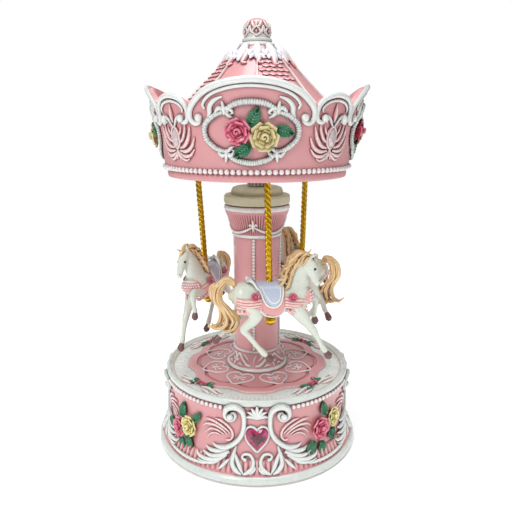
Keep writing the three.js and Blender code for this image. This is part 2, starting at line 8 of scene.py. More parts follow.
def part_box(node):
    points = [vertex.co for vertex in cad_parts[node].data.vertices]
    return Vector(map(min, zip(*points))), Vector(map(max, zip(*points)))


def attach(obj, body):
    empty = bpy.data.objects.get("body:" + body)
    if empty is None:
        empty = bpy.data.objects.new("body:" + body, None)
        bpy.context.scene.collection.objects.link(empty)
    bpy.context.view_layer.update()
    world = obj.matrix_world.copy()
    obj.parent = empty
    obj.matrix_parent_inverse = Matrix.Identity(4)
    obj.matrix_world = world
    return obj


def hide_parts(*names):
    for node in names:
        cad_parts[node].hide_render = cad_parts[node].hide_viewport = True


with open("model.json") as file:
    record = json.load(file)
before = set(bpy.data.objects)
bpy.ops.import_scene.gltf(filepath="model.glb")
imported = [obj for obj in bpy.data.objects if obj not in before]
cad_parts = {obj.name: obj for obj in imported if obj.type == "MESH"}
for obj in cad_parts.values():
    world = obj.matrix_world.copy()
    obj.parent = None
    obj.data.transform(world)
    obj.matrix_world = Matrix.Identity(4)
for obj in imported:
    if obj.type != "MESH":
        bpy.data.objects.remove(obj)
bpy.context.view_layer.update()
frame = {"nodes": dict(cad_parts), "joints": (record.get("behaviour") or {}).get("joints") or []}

# Everything is modelled in millimetres and goes to metres when a piece is done.
toMetres = Matrix.Scale(0.001, 4)
baseTurn = 0.0          # degrees, front heart of the base
canopyTurn = -3.0       # degrees, middle of the canopy's front arch


def linear(hexColor):
    parts = [int(hexColor[i:i + 2], 16) / 255 for i in (1, 3, 5)]
    return tuple(c / 12.92 if c <= 0.04045 else ((c + 0.055) / 1.055) ** 2.4 for c in parts) + (1.0,)


def addNode(material, kind, links=None, **settings):
    made = material.node_tree.nodes.new("ShaderNode" + kind)
    for key, value in settings.items():
        setattr(made, key, value)
    for socket, value in (links or {}).items():
        if isinstance(value, bpy.types.NodeSocket):
            material.node_tree.links.new(value, made.inputs[socket])
        else:
            made.inputs[socket].default_value = value
    return made


def startMaterial(name):
    material = bpy.data.materials.new(name)
    material.use_nodes = True
    shader = material.node_tree.nodes["Principled BSDF"]
    return material, shader


def ranged(material, value, fromLow=0.0, fromHigh=1.0, toLow=0.0, toHigh=1.0):
    return addNode(material, "MapRange", {"Value": value, "From Min": fromLow, "From Max": fromHigh,
                                          "To Min": toLow, "To Max": toHigh}).outputs["Result"]


def blended(material, part, first, second, **settings):
    return addNode(material, "Mix", {0: part, 6: first, 7: second}, data_type="RGBA", **settings).outputs[2]


def noise(material, place, scale, detail=2.0):
    return addNode(material, "TexNoise", {"Vector": place, "Scale": scale, "Detail": detail}).outputs["Fac"]


# The studio: a camera at the viewing angle, soft lamps, a pale board.
studio = {"lens": 38.87, "place": (-0.0006, -0.3411, 0.2009), "pitch": 13.3}
cameraData = bpy.data.cameras.new("camera")
cameraData.lens = studio["lens"]
cameraData.sensor_width = 36
cameraData.clip_start = 0.01
camera = bpy.data.objects.new("camera", cameraData)
camera.location = studio["place"]
camera.rotation_euler = (math.radians(90 - studio["pitch"]), 0, 0)
bpy.context.scene.collection.objects.link(camera)
bpy.context.scene.camera = camera


def addLight(name, place, size, power, aim=(0, 0, 0.12)):
    data = bpy.data.lights.new(name, "AREA")
    data.size = size
    data.energy = power
    lamp = bpy.data.objects.new(name, data)
    lamp.location = place
    lamp.rotation_euler = (Vector(aim) - Vector(place)).to_track_quat("-Z", "Y").to_euler()
    bpy.context.scene.collection.objects.link(lamp)


addLight("keySoft", (-0.50, -0.75, 0.85), 0.35, 3.6)
addLight("fillSoft", (0.75, -0.55, 0.45), 0.8, 1.0)
addLight("topSoft", (0.05, 0.00, 2.2), 1.2, 34.0)
addLight("backSoft", (-0.2, 0.9, 0.5), 0.8, 1.0)
addLight("glint", (-0.35, -0.60, 0.62), 0.08, 0.9)
world = bpy.data.worlds.new("studioWorld")
bpy.context.scene.world = world
world.use_nodes = True
sky = world.node_tree.nodes["Background"]
sky.inputs["Color"].default_value = (1, 1, 1, 1)
seen = addNode(world, "LightPath").outputs["Is Camera Ray"]
skyLevel = ranged(world, seen, toLow=0.26)
world.node_tree.links.new(skyLevel, sky.inputs["Strength"])
bpy.context.scene.view_settings.view_transform = "Standard"

floorMaterial, floorShader = startMaterial("paleMatteBoard")
floorShader.inputs["Base Color"].default_value = linear("#fbfbfb")
floorShader.inputs["Roughness"].default_value = 0.9
floorShader.inputs["Emission Color"].default_value = (1, 1, 1, 1)
# a lit white table, so the board stays pale far off
floorShader.inputs["Emission Strength"].default_value = 0.22
bpy.ops.object.select_all(action="DESELECT")
bpy.ops.mesh.primitive_circle_add(vertices=96, radius=0.6, fill_type="NGON", location=(0, 0, -0.0002))
floor = bpy.context.object
floor.name = "floor"
floor.data.materials.append(floorMaterial)
print("stage ready")


def pick(*objects):
    bpy.ops.object.select_all(action="DESELECT")
    for item in objects:
        item.select_set(True)
    bpy.context.view_layer.objects.active = objects[0]


def newObject(name, verts, edges=(), faces=()):
    mesh = bpy.data.meshes.new(name)
    mesh.from_pydata([tuple(v) for v in verts], list(edges), list(faces))
    mesh.update()
    item = bpy.data.objects.new(name, mesh)
    bpy.context.scene.collection.objects.link(item)
    return item


def joined(name, items):
    pick(*items)
    if len(items) > 1:
        bpy.ops.object.join()
    items[0].name = name
    items[0].data.name = name
    return items[0]


def copyOf(item, matrix):
    other = item.copy()
    other.data = item.data.copy()
    bpy.context.scene.collection.objects.link(other)
    other.data.transform(matrix)
    return other


def turnedCopies(item, degrees, name=None):
    copies = [copyOf(item, Matrix.Rotation(math.radians(d), 4, "Z")) for d in degrees]
    bpy.data.objects.remove(item)
    return joined(name or copies[0].name, copies)


def coords(item):
    flat = np.zeros(len(item.data.vertices) * 3)
    item.data.vertices.foreach_get("co", flat)
    return flat.reshape(-1, 3)


def setCoords(item, places):
    item.data.vertices.foreach_set("co", np.asarray(places, float).ravel())
    item.data.update()


def ball(segments, rings, radius):
    bpy.ops.object.select_all(action="DESELECT")
    bpy.ops.mesh.primitive_uv_sphere_add(segments=segments, ring_count=rings, radius=radius)
    return bpy.context.object


def sheet(columns, rows):
    # a flat grid, with how far each point is across it (-1 to 1) and along it (0 to 1)
    bpy.ops.object.select_all(action="DESELECT")
    bpy.ops.mesh.primitive_grid_add(x_subdivisions=columns, y_subdivisions=rows, size=1)
    p = coords(bpy.context.object)
    return bpy.context.object, p[:, 0] * 2, p[:, 1] + 0.5


def thickened(item, thickness):
    pick(item)
    skin = item.modifiers.new("skin", "SOLIDIFY")
    skin.thickness = thickness
    bpy.ops.object.modifier_apply(modifier="skin")
    return item


def cleaned(item, distance=0.01):
    pick(item)
    bpy.ops.object.mode_set(mode="EDIT")
    bpy.ops.mesh.select_all(action="SELECT")
    bpy.ops.mesh.remove_doubles(threshold=distance)
    bpy.ops.mesh.normals_make_consistent(inside=False)
    bpy.ops.object.mode_set(mode="OBJECT")
    return item


def spunProfile(name, profile, steps, closed=True):
    # a turned shape: the outline is spun once round the upright axis
    count = len(profile)
    edges = [(i, i + 1) for i in range(count - 1)] + ([(count - 1, 0)] if closed else [])
    item = newObject(name, [(r, 0, z) for r, z in profile], edges)
    pick(item)
    bpy.ops.object.mode_set(mode="EDIT")
    bpy.ops.mesh.select_all(action="SELECT")
    bpy.ops.mesh.spin(steps=steps, angle=2 * math.pi, center=(0, 0, 0), axis=(0, 0, 1))
    bpy.ops.object.mode_set(mode="OBJECT")
    return cleaned(item)


def reshaped(item, change):
    # change(degrees from the front, radius, z) gives the new radius and z
    p = coords(item)
    radius = np.hypot(p[:, 0], p[:, 1])
    deg = np.degrees(np.arctan2(p[:, 0], -p[:, 1]))
    newRadius, newZ = change(deg, radius, p[:, 2])
    scale = np.where(radius > 1e-6, newRadius / np.maximum(radius, 1e-6), 1)
    setCoords(item, np.column_stack([p[:, 0] * scale, p[:, 1] * scale, newZ]))
    return item


def smoothPath(points, step, closed=False):
    # Catmull-Rom through the points, then even steps; any number of columns
    p = np.array(points, float)
    if closed:
        ends = np.vstack([p[-1:], p, p[:2]])
    else:
        ends = np.vstack([2 * p[0] - p[1], p, 2 * p[-1] - p[-2]])
    fine = []
    for i in range(len(ends) - 3):
        a, b, c, d = ends[i:i + 4]
        for t in np.linspace(0, 1, 12, endpoint=False):
            fine.append(0.5 * ((2 * b) + (c - a) * t + (2 * a - 5 * b + 4 * c - d) * t * t
                               + (3 * b - a - 3 * c + d) * t ** 3))
    fine.append(ends[-2])
    fine = np.array(fine)
    axes = 2 if p.shape[1] < 4 else 3
    length = np.concatenate([[0], np.cumsum(np.linalg.norm(np.diff(fine[:, :axes], axis=0), axis=1))])
    count = max(3, int(round(length[-1] / step)) + 1)
    spots = np.linspace(0, length[-1], count)
    out = np.column_stack([np.interp(spots, length, fine[:, k]) for k in range(p.shape[1])])
    return out[:-1] if closed else out


# round a stroke's section: flat below, domed above
ringAngles = np.radians([0, 35, 70, 110, 145, 180, 225, 315])


def strokeMesh(strokes, height=0.85, step=0.7, ripple=None):
    # each stroke is a list of (u, v, half width) in a flat plane; gives points (u, v, lift), faces and relief
    verts, faces, relief = [], [], []
    for stroke in strokes:
        closed = isinstance(stroke, dict)
        path = smoothPath(stroke["loop"] if closed else stroke, step, closed)
        count = len(path)
        ahead = np.roll(path[:, :2], -1, 0) - np.roll(path[:, :2], 1, 0)
        if not closed:
            ahead[0] = path[1, :2] - path[0, :2]
            ahead[-1] = path[-1, :2] - path[-2, :2]
        ahead /= np.maximum(np.linalg.norm(ahead, axis=1, keepdims=True), 1e-9)
        side = np.column_stack([-ahead[:, 1], ahead[:, 0]])
        width = np.maximum(path[:, 2], 0.12)
        if ripple:
            width = width * (1 + ripple[0] * np.cos(2 * np.pi * np.arange(count) * step / ripple[1]))
        start = len(verts)
        for i in range(count):
            for a in ringAngles:
                u, v = path[i, :2] + side[i] * width[i] * math.cos(a)
                lift = width[i] * (height * math.sin(a) if math.sin(a) > 0 else 0.5 * math.sin(a))
                verts.append((u, v, lift))
                relief.append(max(0.0, math.sin(a)))
        n = len(ringAngles)
        last = count if closed else count - 1
        for i in range(last):
            for k in range(n):
                a = start + i * n + k
                b = start + i * n + (k + 1) % n
                c = start + ((i + 1) % count) * n + (k + 1) % n
                d = start + ((i + 1) % count) * n + k
                faces.append((a, d, c, b))
        if not closed:
            faces.append(tuple(start + k for k in range(n)))
            faces.append(tuple(start + (count - 1) * n + k for k in reversed(range(n))))
    return np.array(verts), faces, relief


def remade(strokes, change):
    # the same strokes with every point changed; a loop stays a loop
    return [{"loop": [change(*p) for p in stroke["loop"]]} if isinstance(stroke, dict)
            else [change(*p) for p in stroke] for stroke in strokes]


def wrapped(name, strokes, radiusAt, lift=0.0, **more):
    # strokes given as (degrees, z, half width) laid on a turned surface
    first = strokes[0]["loop"] if isinstance(strokes[0], dict) else strokes[0]
    k = math.pi / 180 * float(radiusAt(np.array([first[0][1]]))[0])
    p, faces, relief = strokeMesh(remade(strokes, lambda d, z, w: (d * k, z, w)), **more)
    angle = np.radians(p[:, 0] / k)
    r = radiusAt(p[:, 1]) + p[:, 2] + lift
    slope = (radiusAt(p[:, 1] + 0.5) - radiusAt(p[:, 1] - 0.5))
    places = np.column_stack([r * np.sin(angle), -r * np.cos(angle), p[:, 1] - slope * p[:, 2]])
    item = newObject(name, places, (), faces)
    setRelief(item, relief)
    return item


def setRelief(item, values):
    layer = item.data.attributes.new("relief", "FLOAT", "POINT")
    layer.data.foreach_set("value", np.zeros(len(item.data.vertices)) + values)


def mirrored(strokes):
    return list(strokes) + remade(strokes, lambda d, z, w: (-d, z, w))


def shifted(strokes, degrees):
    return remade(strokes, lambda d, z, w: (d + degrees, z, w))


def halfToWhole(points):
    # a symmetrical stroke from its first half, the middle point last
    return points + [(-d, z, w) for d, z, w in points[-2::-1]]


def done(item, body, material, replaces=(), angle=50):
    item.data.materials.clear()
    item.data.materials.append(material)
    item.data.transform(toMetres)
    pick(item)
    bpy.ops.object.shade_smooth_by_angle(angle=math.radians(angle))
    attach(item, body)
    if replaces:
        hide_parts(*replaces)


def paintedResin(name, base, crest, shadeColour, rough=0.42, crestFrom=0.55, shadeDepth=0.6, grain=0.12,
                 mottle=0.25):
    # cast resin, sprayed and then dry-brushed: pale on what stands out, and darker in what lies deep, which
    # is painted shade laid on by ambient occlusion
    material, shader = startMaterial(name)
    place = addNode(material, "TexCoord").outputs["Object"]
    cloud = noise(material, place, 140.0, 3.0)
    speck = noise(material, place, 1100.0)
    relief = addNode(material, "Attribute", attribute_name="relief").outputs["Fac"]
    uneven = ranged(material, speck, 0.3, 0.7, 0.75, 1.15)
    brushed = addNode(material, "Math", {0: relief, 1: uneven}, operation="MULTIPLY").outputs[0]
    crestPart = ranged(material, brushed, crestFrom - 0.3, crestFrom + 0.1)
    # painted shade: ambient occlusion finds the creases, corners and recesses, and the shade colour is mixed
    # in there
    deep = addNode(material, "AmbientOcclusion", {"Distance": 0.0022}, samples=6).outputs["AO"]
    shadePart = ranged(material, deep, 0.35, 0.92, shadeDepth, 0.0)
    tone = ranged(material, cloud, 0.3, 0.7, 0.0, mottle)
    paler = tuple(min(1, c * 1.12 + 0.02) for c in linear(base)[:3]) + (1,)
    body = blended(material, tone, linear(base), paler)
    light = blended(material, crestPart, body, linear(crest))
    dark = blended(material, shadePart, light, linear(shadeColour))
    bump = addNode(material, "Bump", {"Strength": grain, "Distance": 0.0002, "Height": speck})
    roughPart = ranged(material, cloud, 0.3, 0.7, rough - 0.06, rough + 0.08)
    material.node_tree.links.new(dark, shader.inputs["Base Color"])
    material.node_tree.links.new(roughPart, shader.inputs["Roughness"])
    material.node_tree.links.new(bump.outputs[0], shader.inputs["Normal"])
    shader.inputs["Coat Weight"].default_value = 0.4
    shader.inputs["Coat Roughness"].default_value = 0.16
    return material


# each below: ground colour, the colour brushed on the tops, then the colour of the painted shade in the
# recesses
# matt shell pink, with a painted rosy-brown shade in every corner
pinkResin = paintedResin("pinkPaintedResin", "#e09fa2", "#f0cfcd", "#8e3640", shadeDepth=0.9)
# pink ornament whose tops are brushed almost white
pinkRelief = paintedResin("pinkReliefDryBrushed", "#df979b", "#f4e6e3", "#93363f", crestFrom=0.8,
                          shadeDepth=0.95)
# smooth pearl white with a low sheen, greyed by painted shade in the joints
whiteResin = paintedResin("pearlWhitePaintedResin", "#dae1dc", "#f0f4f1", "#8d7570", shadeDepth=0.8,
                          rough=0.28)
# white scrollwork drawn clearly by a painted brown-grey shade in its recesses
whiteSwag = paintedResin("whiteReliefPaintedShade", "#c3cbc6", "#eef2ef", "#6b5652", crestFrom=0.75,
                         shadeDepth=0.9, rough=0.3)
# deep leaf green with mint veins, and a painted near-black shade in the folds
leafGreen = paintedResin("greenLeafPaint", "#2f8a5e", "#a9dcc2", "#0f3a26", crestFrom=0.8, shadeDepth=0.85,
                         rough=0.36)
# small glossy pearls, with a painted pink shade where they touch
pearlBead = paintedResin("pearlBeadPaint", "#e2dedb", "#f3f1ee", "#c07a7d", shadeDepth=0.55, rough=0.25)
# pink beads with a pearly top; the pink is painted shade, where they meet the wall and one another
pinkBead = paintedResin("pinkBeadBrushedPearl", "#e4b9ba", "#f6efed", "#9c4a52", crestFrom=0.5,
                        shadeDepth=0.8, rough=0.28)
# thin white lines with pink showing through
whiteOnPink = paintedResin("whiteBrushedOnPink", "#e9cfcd", "#f1efec", "#b2646a", crestFrom=0.55,
                           shadeDepth=0.5, rough=0.3)
# strong rose pink, light at the petal lips
rosePink = paintedResin("pinkRosePaint", "#e0607f", "#f4a3b3", "#8f1f3d", crestFrom=0.9, shadeDepth=0.8,
                        rough=0.38)
# butter yellow, with a painted olive shade between the petals
roseYellow = paintedResin("yellowRosePaint", "#ecdf88", "#f7f2c4", "#8f7a2a", crestFrom=0.9,
                          shadeDepth=0.75, rough=0.4)
# the crown's older, creamier yellow
roseCream = paintedResin("creamRosePaint", "#d9c98a", "#efe6bb", "#86702c", crestFrom=0.9, shadeDepth=0.75,
                         rough=0.4)
# cool cream white with a soft gloss, as on a glazed horse
horseWhite = paintedResin("horseCreamWhitePaint", "#cdd7c8", "#e6ebdf", "#8f8268", shadeDepth=0.6, rough=0.3)
# golden hair: pale on the ridges, with a painted amber shade between them
maneGold = paintedResin("maneGoldenPaint", "#e6b878", "#f8e6bf", "#9a5f28", crestFrom=0.7, shadeDepth=0.75)
# dull dark maroon that ends the leg crisply
hoofMaroon = paintedResin("hoofMaroonPaint", "#553538", "#7d5a58", "#22100f", rough=0.4)
# pale lavender blue, the only cool colour on the horse
saddleBlue = paintedResin("saddleLavenderPaint", "#bcc6dc", "#e0e5f0", "#6f7798", rough=0.34)
# salmon pink with creamy raised folds
ribbonPink = paintedResin("ribbonPinkPaint", "#eda7a4", "#fbe1dc", "#b25a58", crestFrom=0.9, shadeDepth=0.75)
# a thin tan line inside the rim
brownWash = paintedResin("rimGrooveWash", "#cdbfae", "#efe9df", "#8f7a5e")
# white leaves with a lilac shade
lilacLeaf = paintedResin("lilacLeafPaint", "#d5d6ea", "#f7f8fc", "#8d88a8", shadeDepth=0.7)
# a wet black point
blackEye = paintedResin("blackEyePaint", "#1b1413", "#1b1413", "#0c0808", rough=0.15)
print("materials ready")


# A rose's rings from the bud outwards: how many petals, their reach, height and tilt.
rose = {"rings": [(3, 0.30, 0.62, 62), (4, 0.52, 0.50, 48), (5, 0.78, 0.34, 30), (5, 1.0, 0.16, 12)]}


def petal(width, length, cup, tilt):
    # a cupped petal with a rolled lip, from a small grid
    item, across, along = sheet(6, 5)
    half = width * np.sqrt(np.maximum(0.02, 1 - (1.25 * along - 0.55) ** 2))
    x = across * half * 0.5 * (0.55 + 0.45 * np.minimum(1, along * 2))
    out = along * length
    lift = cup * along ** 1.2 * length - 0.18 * length * np.maximum(0, along - 0.72) ** 1.1 * 3
    lift += -0.25 * cup * (across ** 2) * length * 0.4
    setCoords(item, np.column_stack([x, out, lift]))
    setRelief(item, np.clip((along - 0.55) * 2.2, 0, 1))
    thickened(item, 0.09)
    item.data.transform(Matrix.Rotation(math.radians(tilt), 4, "X"))
    return item


def makeRose():
    # closed bud in the middle, then rings of petals that open outwards; radius 1, its face up
    parts = []
    for ringNumber, (count, reach, high, tilt) in enumerate(rose["rings"]):
        for i in range(count):
            item = petal(reach * 1.05, reach * 0.92, 0.55, tilt * 0.35)
            item.data.transform(Matrix.Translation((0, reach * 0.08, high * 0.62 - 0.12)))
            item.data.transform(Matrix.Rotation(2 * math.pi * (i + 0.5 * (ringNumber % 2)) / count, 4, "Z"))
            parts.append(item)
    spiral = [(0.26 * (1 - t) * math.cos(9 * t), 0.26 * (1 - t) * math.sin(9 * t), 0.075)
              for t in np.linspace(0, 0.9, 14)]
    p, faces, relief = strokeMesh([spiral], height=2.4, step=0.09)
    p[:, 2] += 0.50
    bud = newObject("bud", p, (), faces)
    setRelief(bud, relief)
    parts.append(bud)
    core = ball(14, 8, 0.42)
    core.data.transform(Matrix.Diagonal((1.05, 1.05, 0.95, 1)) @ Matrix.Translation((0, 0, 0.1)))
    parts.append(core)
    return joined("rosePattern", parts)


def makeLeaf():
    # a rose leaf, 1 long: folded along its midrib, toothed edge, veins pressed in
    item, across, along = sheet(10, 36)
    teeth = 1 + 0.10 * np.abs(np.sin(along * 22))
    half = 0.30 * np.sin(np.pi * np.clip(along, 0.02, 1) ** 0.8) ** 0.8 * teeth
    half = np.where(along > 0.985, 0.01, half)
    fold = 0.14 * np.abs(across) - 0.10 * along ** 2
    veins = 0.035 * np.cos((along - 0.25 * np.abs(across)) * 2 * np.pi * 6.0)
    rib = 0.03 * np.exp(-(across / 0.12) ** 2)
    setCoords(item, np.column_stack([across * half, along, fold + veins + rib]))
    setRelief(item, np.clip(0.25 + veins / 0.07 * 1.3 + rib * 20 - 0.25, 0, 1))
    return thickened(item, 0.07)


rosePattern = makeRose()
leafPattern = makeLeaf()


def onWall(degrees, z, radius, lean=0.0, spin=0.0, size=1.0):
    # puts a pattern, face up at the origin, on a wall: its face outwards, its +Y towards spin degrees from up
    return (Matrix.Rotation(math.radians(degrees), 4, "Z") @ Matrix.Translation((0, -radius, z))
            @ Matrix.Rotation(math.radians(90 + lean), 4, "X")
            @ Matrix.Rotation(math.radians(-spin), 4, "Z") @ Matrix.Scale(size, 4))


def placed(pattern, places, name, last=False):
    group = joined(name, [copyOf(pattern, place) for place in places])
    if last:
        bpy.data.objects.remove(pattern)
    return group


def makeBead(radius):
    item = ball(10, 6, radius)
    setRelief(item, 1.0)
    return item


def beadRow(name, radius, ringRadius, z, degrees):
    places = [Matrix.Rotation(math.radians(d), 4, "Z") @ Matrix.Translation((0, -ringRadius, z))
              for d in degrees]
    return placed(makeBead(radius), places, name, last=True)


# The base: a hollow casting, with its relief laid on in turned copies, one for each heart.
base = {"ribs": 116, "beads": 120, "beadRadius": 1.35}
wallZ = [0, 6.5, 7, 13, 18, 22, 34, 43, 46, 48, 51]
wallR = [65, 62.2, 61.9, 59.2, 57.4, 57, 56.8, 57.2, 58.0, 58.8, 58]


def baseWall(z):
    return np.interp(z, wallZ, wallR)


def baseCasting():
    foot = [(56.5, 0.1), (62.2, 0.1), (63.3, 0.6), (63.9, 1.7), (64, 3), (63.0, 4.8), (62.6, 5.2),
            (62.3, 5.5)]
    slope = [(62.1, 5.9), (61.7, 7.2), (61.2, 8.6), (60.6, 10.0), (60.0, 11.4), (59.5, 12.6), (59.1, 13.4)]
    wall = [(58.3, 13.6), (57.9, 15), (57.4, 18), (57.1, 21), (56.9, 26), (56.8, 32), (56.9, 38),
            (57.1, 42), (57.3, 44)]
    inside = [(8, 47.9), (8, 44), (53.5, 44), (53.5, 14), (53.5, 4)]
    deck = [(57.6, 45.4), (56.2, 47.9), (50, 47.9), (40, 47.9), (20, 47.9)]
    item = spunProfile("baseCasting", foot + slope + wall + deck + inside, 696)

    def ribbed(deg, r, z):
        ribs = np.where((z > 5.7) & (z < 12.8),
                        1.0 * np.abs(np.cos(np.radians(deg * base["ribs"] / 2))) - 0.6, 0)
        return r + np.where(r > 57, ribs, 0), z
    reshaped(item, ribbed)
    return item


shell = baseCasting()
shellX, shellY, shellZ = coords(shell).T
ribCrest = np.clip((np.hypot(shellX, shellY) - baseWall(shellZ)) * 1.4, 0, 0.7)
setRelief(shell, np.where((shellZ > 5.6) & (shellZ < 12.9), ribCrest, 0))
done(shell, "base", pinkResin, ["base_shell"], angle=40)

# the white foot roll and the rolled rim are painted apart from the pink
footRoll = spunProfile("footRoll", [(61.0, 4.6), (61.6, 0.15), (63.9, 0.2), (64.7, 0.8), (65, 1.9),
                                    (64.9, 3.1), (64.3, 4.2), (63.3, 5.0), (62.0, 5.3)], 240)
done(footRoll, "base", whiteResin)


def rimRoll():
    profile = [(55.0, 48.0), (55.3, 48.9), (56.0, 49.1), (56.5, 49.6), (57.0, 50.3), (57.8, 50.6),
               (58.6, 50.2), (59.0, 49.2), (59.0, 48.0), (58.6, 47.0), (58.0, 46.3), (57.3, 46.2),
               (56.4, 47.0)]
    return spunProfile("rimRoll", profile, 240)


done(rimRoll(), "base", whiteResin)
groove = spunProfile("rimGroove", [(54.2, 48.1), (54.2, 48.45), (55.0, 48.55), (55.5, 48.5),
                                   (55.5, 48.1)], 200)
done(groove, "base", brownWash)

motif = {
    "volute": [(15.3, 40.1, 0.7), (14.5, 41.9, 0.9), (12.8, 41.8, 1.0), (12.5, 39.7, 1.2),
               (14.3, 37.6, 1.3), (16.6, 37.7, 1.5), (18.1, 40.1, 1.7), (17.1, 44.5, 1.9),
               (13.6, 46.7, 2.0), (10.1, 46.0, 1.9), (7.8, 42.3, 1.6), (7.3, 37.2, 1.4), (7.9, 31.2, 1.4),
               (9.9, 26.6, 1.5), (13.2, 22.8, 1.6), (16.9, 20.2, 1.6), (20.7, 18.7, 1.2)],
    "heart": halfToWhole([(0, 18.4, 0.9), (2.5, 20.9, 0.9), (4.9, 23.8, 0.9), (6.5, 27.2, 0.9),
                          (6.9, 30.4, 0.9), (5.6, 33.2, 0.9), (3.0, 34.0, 0.9), (0.9, 32.8, 0.9),
                          (0, 31.6, 0.9)])[:-1],
    "scroll": [(5.9, 13.6, 1.2), (7.5, 14.0, 0.9), (8.4, 15.3, 0.8), (7.0, 16.7, 0.8), (4.2, 16.6, 0.9),
               (2.4, 14.4, 1.0), (2.0, 11.9, 1.1), (2.9, 9.3, 1.2), (4.9, 7.6, 1.2), (7.4, 6.4, 0.5)],
    "tails": [[(12.1, 21.3, 0.6), (13.3, 16.1, 1.3), (13.5, 11.0, 1.5), (11.1, 8.0, 1.4), (8.3, 6.4, 0.4)],
              [(13.1, 17.4, 0.7), (11.3, 13.8, 1.2), (9.3, 9.8, 1.3), (7.4, 6.6, 0.4)],
              [(2.3, 11.2, 0.5), (1.3, 9.4, 0.9), (2.9, 7.6, 0.9), (4.5, 6.8, 0.4)],
              [(15.2, 13.3, 0.3), (16.6, 12.2, 0.9), (18.9, 9.6, 1.1), (21.1, 7.4, 0.3)],
              [(13.0, 16.8, 0.5), (14.4, 15.1, 0.5), (15.2, 13.3, 0.5)]],
    "feathers": [[(16.9, 20.2, 1.3), (21.4, 18.9, 1.5), (24.6, 19.2, 1.0), (26.6, 20.4, 0.4)],
                 [(16.5, 19.1, 1.2), (22.0, 16.7, 1.5), (27.4, 16.2, 1.2), (30.8, 17.6, 0.4)],
                 [(16.0, 17.7, 1.2), (20.9, 14.6, 1.5), (27.0, 13.2, 1.3), (32.4, 14.4, 0.4)],
                 [(17.3, 15.6, 1.0), (22.0, 12.4, 1.4), (28.8, 10.8, 1.3), (34.6, 11.4, 0.9),
                  (36.6, 13.4, 0.4)],
                 [(19.9, 13.2, 0.9), (24.6, 10.2, 1.2), (30.4, 8.9, 0.9), (35.0, 9.2, 0.4)]],
    "swag": [(25.4, 10.2, 0.6), (30.5, 8.3, 0.8), (37.0, 7.6, 0.9), (45.0, 7.4, 0.95)],
    "arch": [[(17.8, 24.4, 0.9), (15.8, 24.3, 0.8), (14.1, 26.9, 0.9), (14.6, 30.4, 0.9),
              (17.6, 33.8, 1.0), (21.3, 35.9, 1.0), (24.8, 36.4, 0.4)],
             [(15.6, 28.6, 0.5), (18.6, 31.2, 0.9), (23.0, 33.6, 1.0), (28.4, 35.0, 0.9), (31.6, 34.6, 0.4)],
             [(17.4, 27.9, 0.5), (21.0, 30.6, 0.9), (26.0, 32.2, 1.0), (31.0, 31.4, 0.8), (33.4, 29.4, 0.4)],
             [(19.6, 27.4, 0.5), (23.4, 29.2, 0.8), (27.9, 29.2, 0.8), (31.6, 25.9, 0.4)],
             [(21.5, 26.6, 0.4), (25.0, 27.2, 0.7), (28.4, 25.6, 0.6), (30.4, 22.4, 0.3)]],
}
palmLeaves = [[(0, 39.4, 0.7), (math.sin(a) * 3.0, 39.8 + math.cos(a) * 4.0, 1.25),
               (math.sin(a) * 6.6, 39.6 + math.cos(a) * 8.2 - abs(math.sin(a)) * 1.2, 0.45)]
              for a in np.radians([-78, -54, -28, 0, 28, 54, 78])]
quarters = [baseTurn, baseTurn + 90, baseTurn + 180, baseTurn + 270]

bands = wrapped("baseScrollBands", mirrored([motif["volute"]]), baseWall, lift=0.7, height=1.15)
smallRelief = wrapped("baseSmallRelief", mirrored([motif["scroll"]] + motif["tails"] + [motif["swag"]])
                      + [{"loop": motif["heart"]}], baseWall, lift=0.35, height=1.0)
feathers = wrapped("baseFeathers", mirrored(motif["feathers"]), baseWall, lift=0.4, height=1.0)
palmette = wrapped("basePalmette", palmLeaves, baseWall, lift=1.0, height=0.9, step=0.5)
eyes = placed(makeBead(2.0), [onWall(s * 15.0, 40.0, 59.2) for s in (-1, 1)], "voluteEyes", last=True)
whiteBase = joined("baseWhiteRelief",
                   [turnedCopies(m, quarters) for m in (bands, smallRelief, feathers, eyes)])
done(whiteBase, "base", whiteSwag)
done(turnedCopies(palmette, quarters, "basePalmettes"), "base", whiteSwag)
arches = wrapped("baseArch", mirrored(motif["arch"]), baseWall, lift=0.25, height=0.95)
done(turnedCopies(arches, quarters, "basePinkArches"), "base", pinkRelief)

beadAngles = [d for d in np.arange(0, 360, 360 / base["beads"]) if abs((d + 45) % 90 - 45) > 19.5]
done(beadRow("baseBeads", base["beadRadius"], 58.1, 44.6, beadAngles), "base", pearlBead)

# bunches of roses at the four diagonals: (kind, degrees, z, radius, size)
bunchRight = [("p", 39.5, 26.2, 6.6), ("y", 51.5, 29.0, 5.8)]
bunchLeft = [("p", -53.0, 21.6, 6.2), ("y", -43.2, 26.2, 6.3)]
leafRight = [(34.5, 19.8, -150, 9.5), (40.5, 17.6, 180, 9), (46.8, 21.0, 130, 8.5),
             (43.6, 33.4, -10, 8.5), (50.0, 22.0, 150, 7)]
leafLeft = [(-50.5, 29.5, 8, 9.5), (-60.0, 21.0, -100, 8.5), (-49.5, 16.5, 170, 8.5),
            (-44.5, 19.6, 160, 9.0), (-39.5, 31.0, 40, 7)]
pinkPlaces, yellowPlaces, leafPlaces = [], [], []
for turn in (0, 180):
    for kind, deg, z, size in bunchRight + bunchLeft:
        place = onWall(deg + turn, z, float(baseWall(z)) + 0.8, -4, 30 * (deg % 7), size)
        (pinkPlaces if kind == "p" else yellowPlaces).append(place)
    for deg, z, spin, size in leafRight + leafLeft:
        leafPlaces.append(onWall(deg + turn, z, float(baseWall(z)) + 1.6, -4, spin, size))
done(placed(rosePattern, pinkPlaces, "basePinkRoses"), "base", rosePink)
done(placed(rosePattern, yellowPlaces, "baseYellowRoses"), "base", roseYellow)
done(placed(leafPattern, leafPlaces, "baseRoseLeaves"), "base", leafGreen)
print("base ready")


# The deck: a lobed pink mat on a ribbed white ring.
deckZ = 47.9
deck = {"matRise": 1.3, "lobes": 8, "ribs": 132, "hearts": 8}


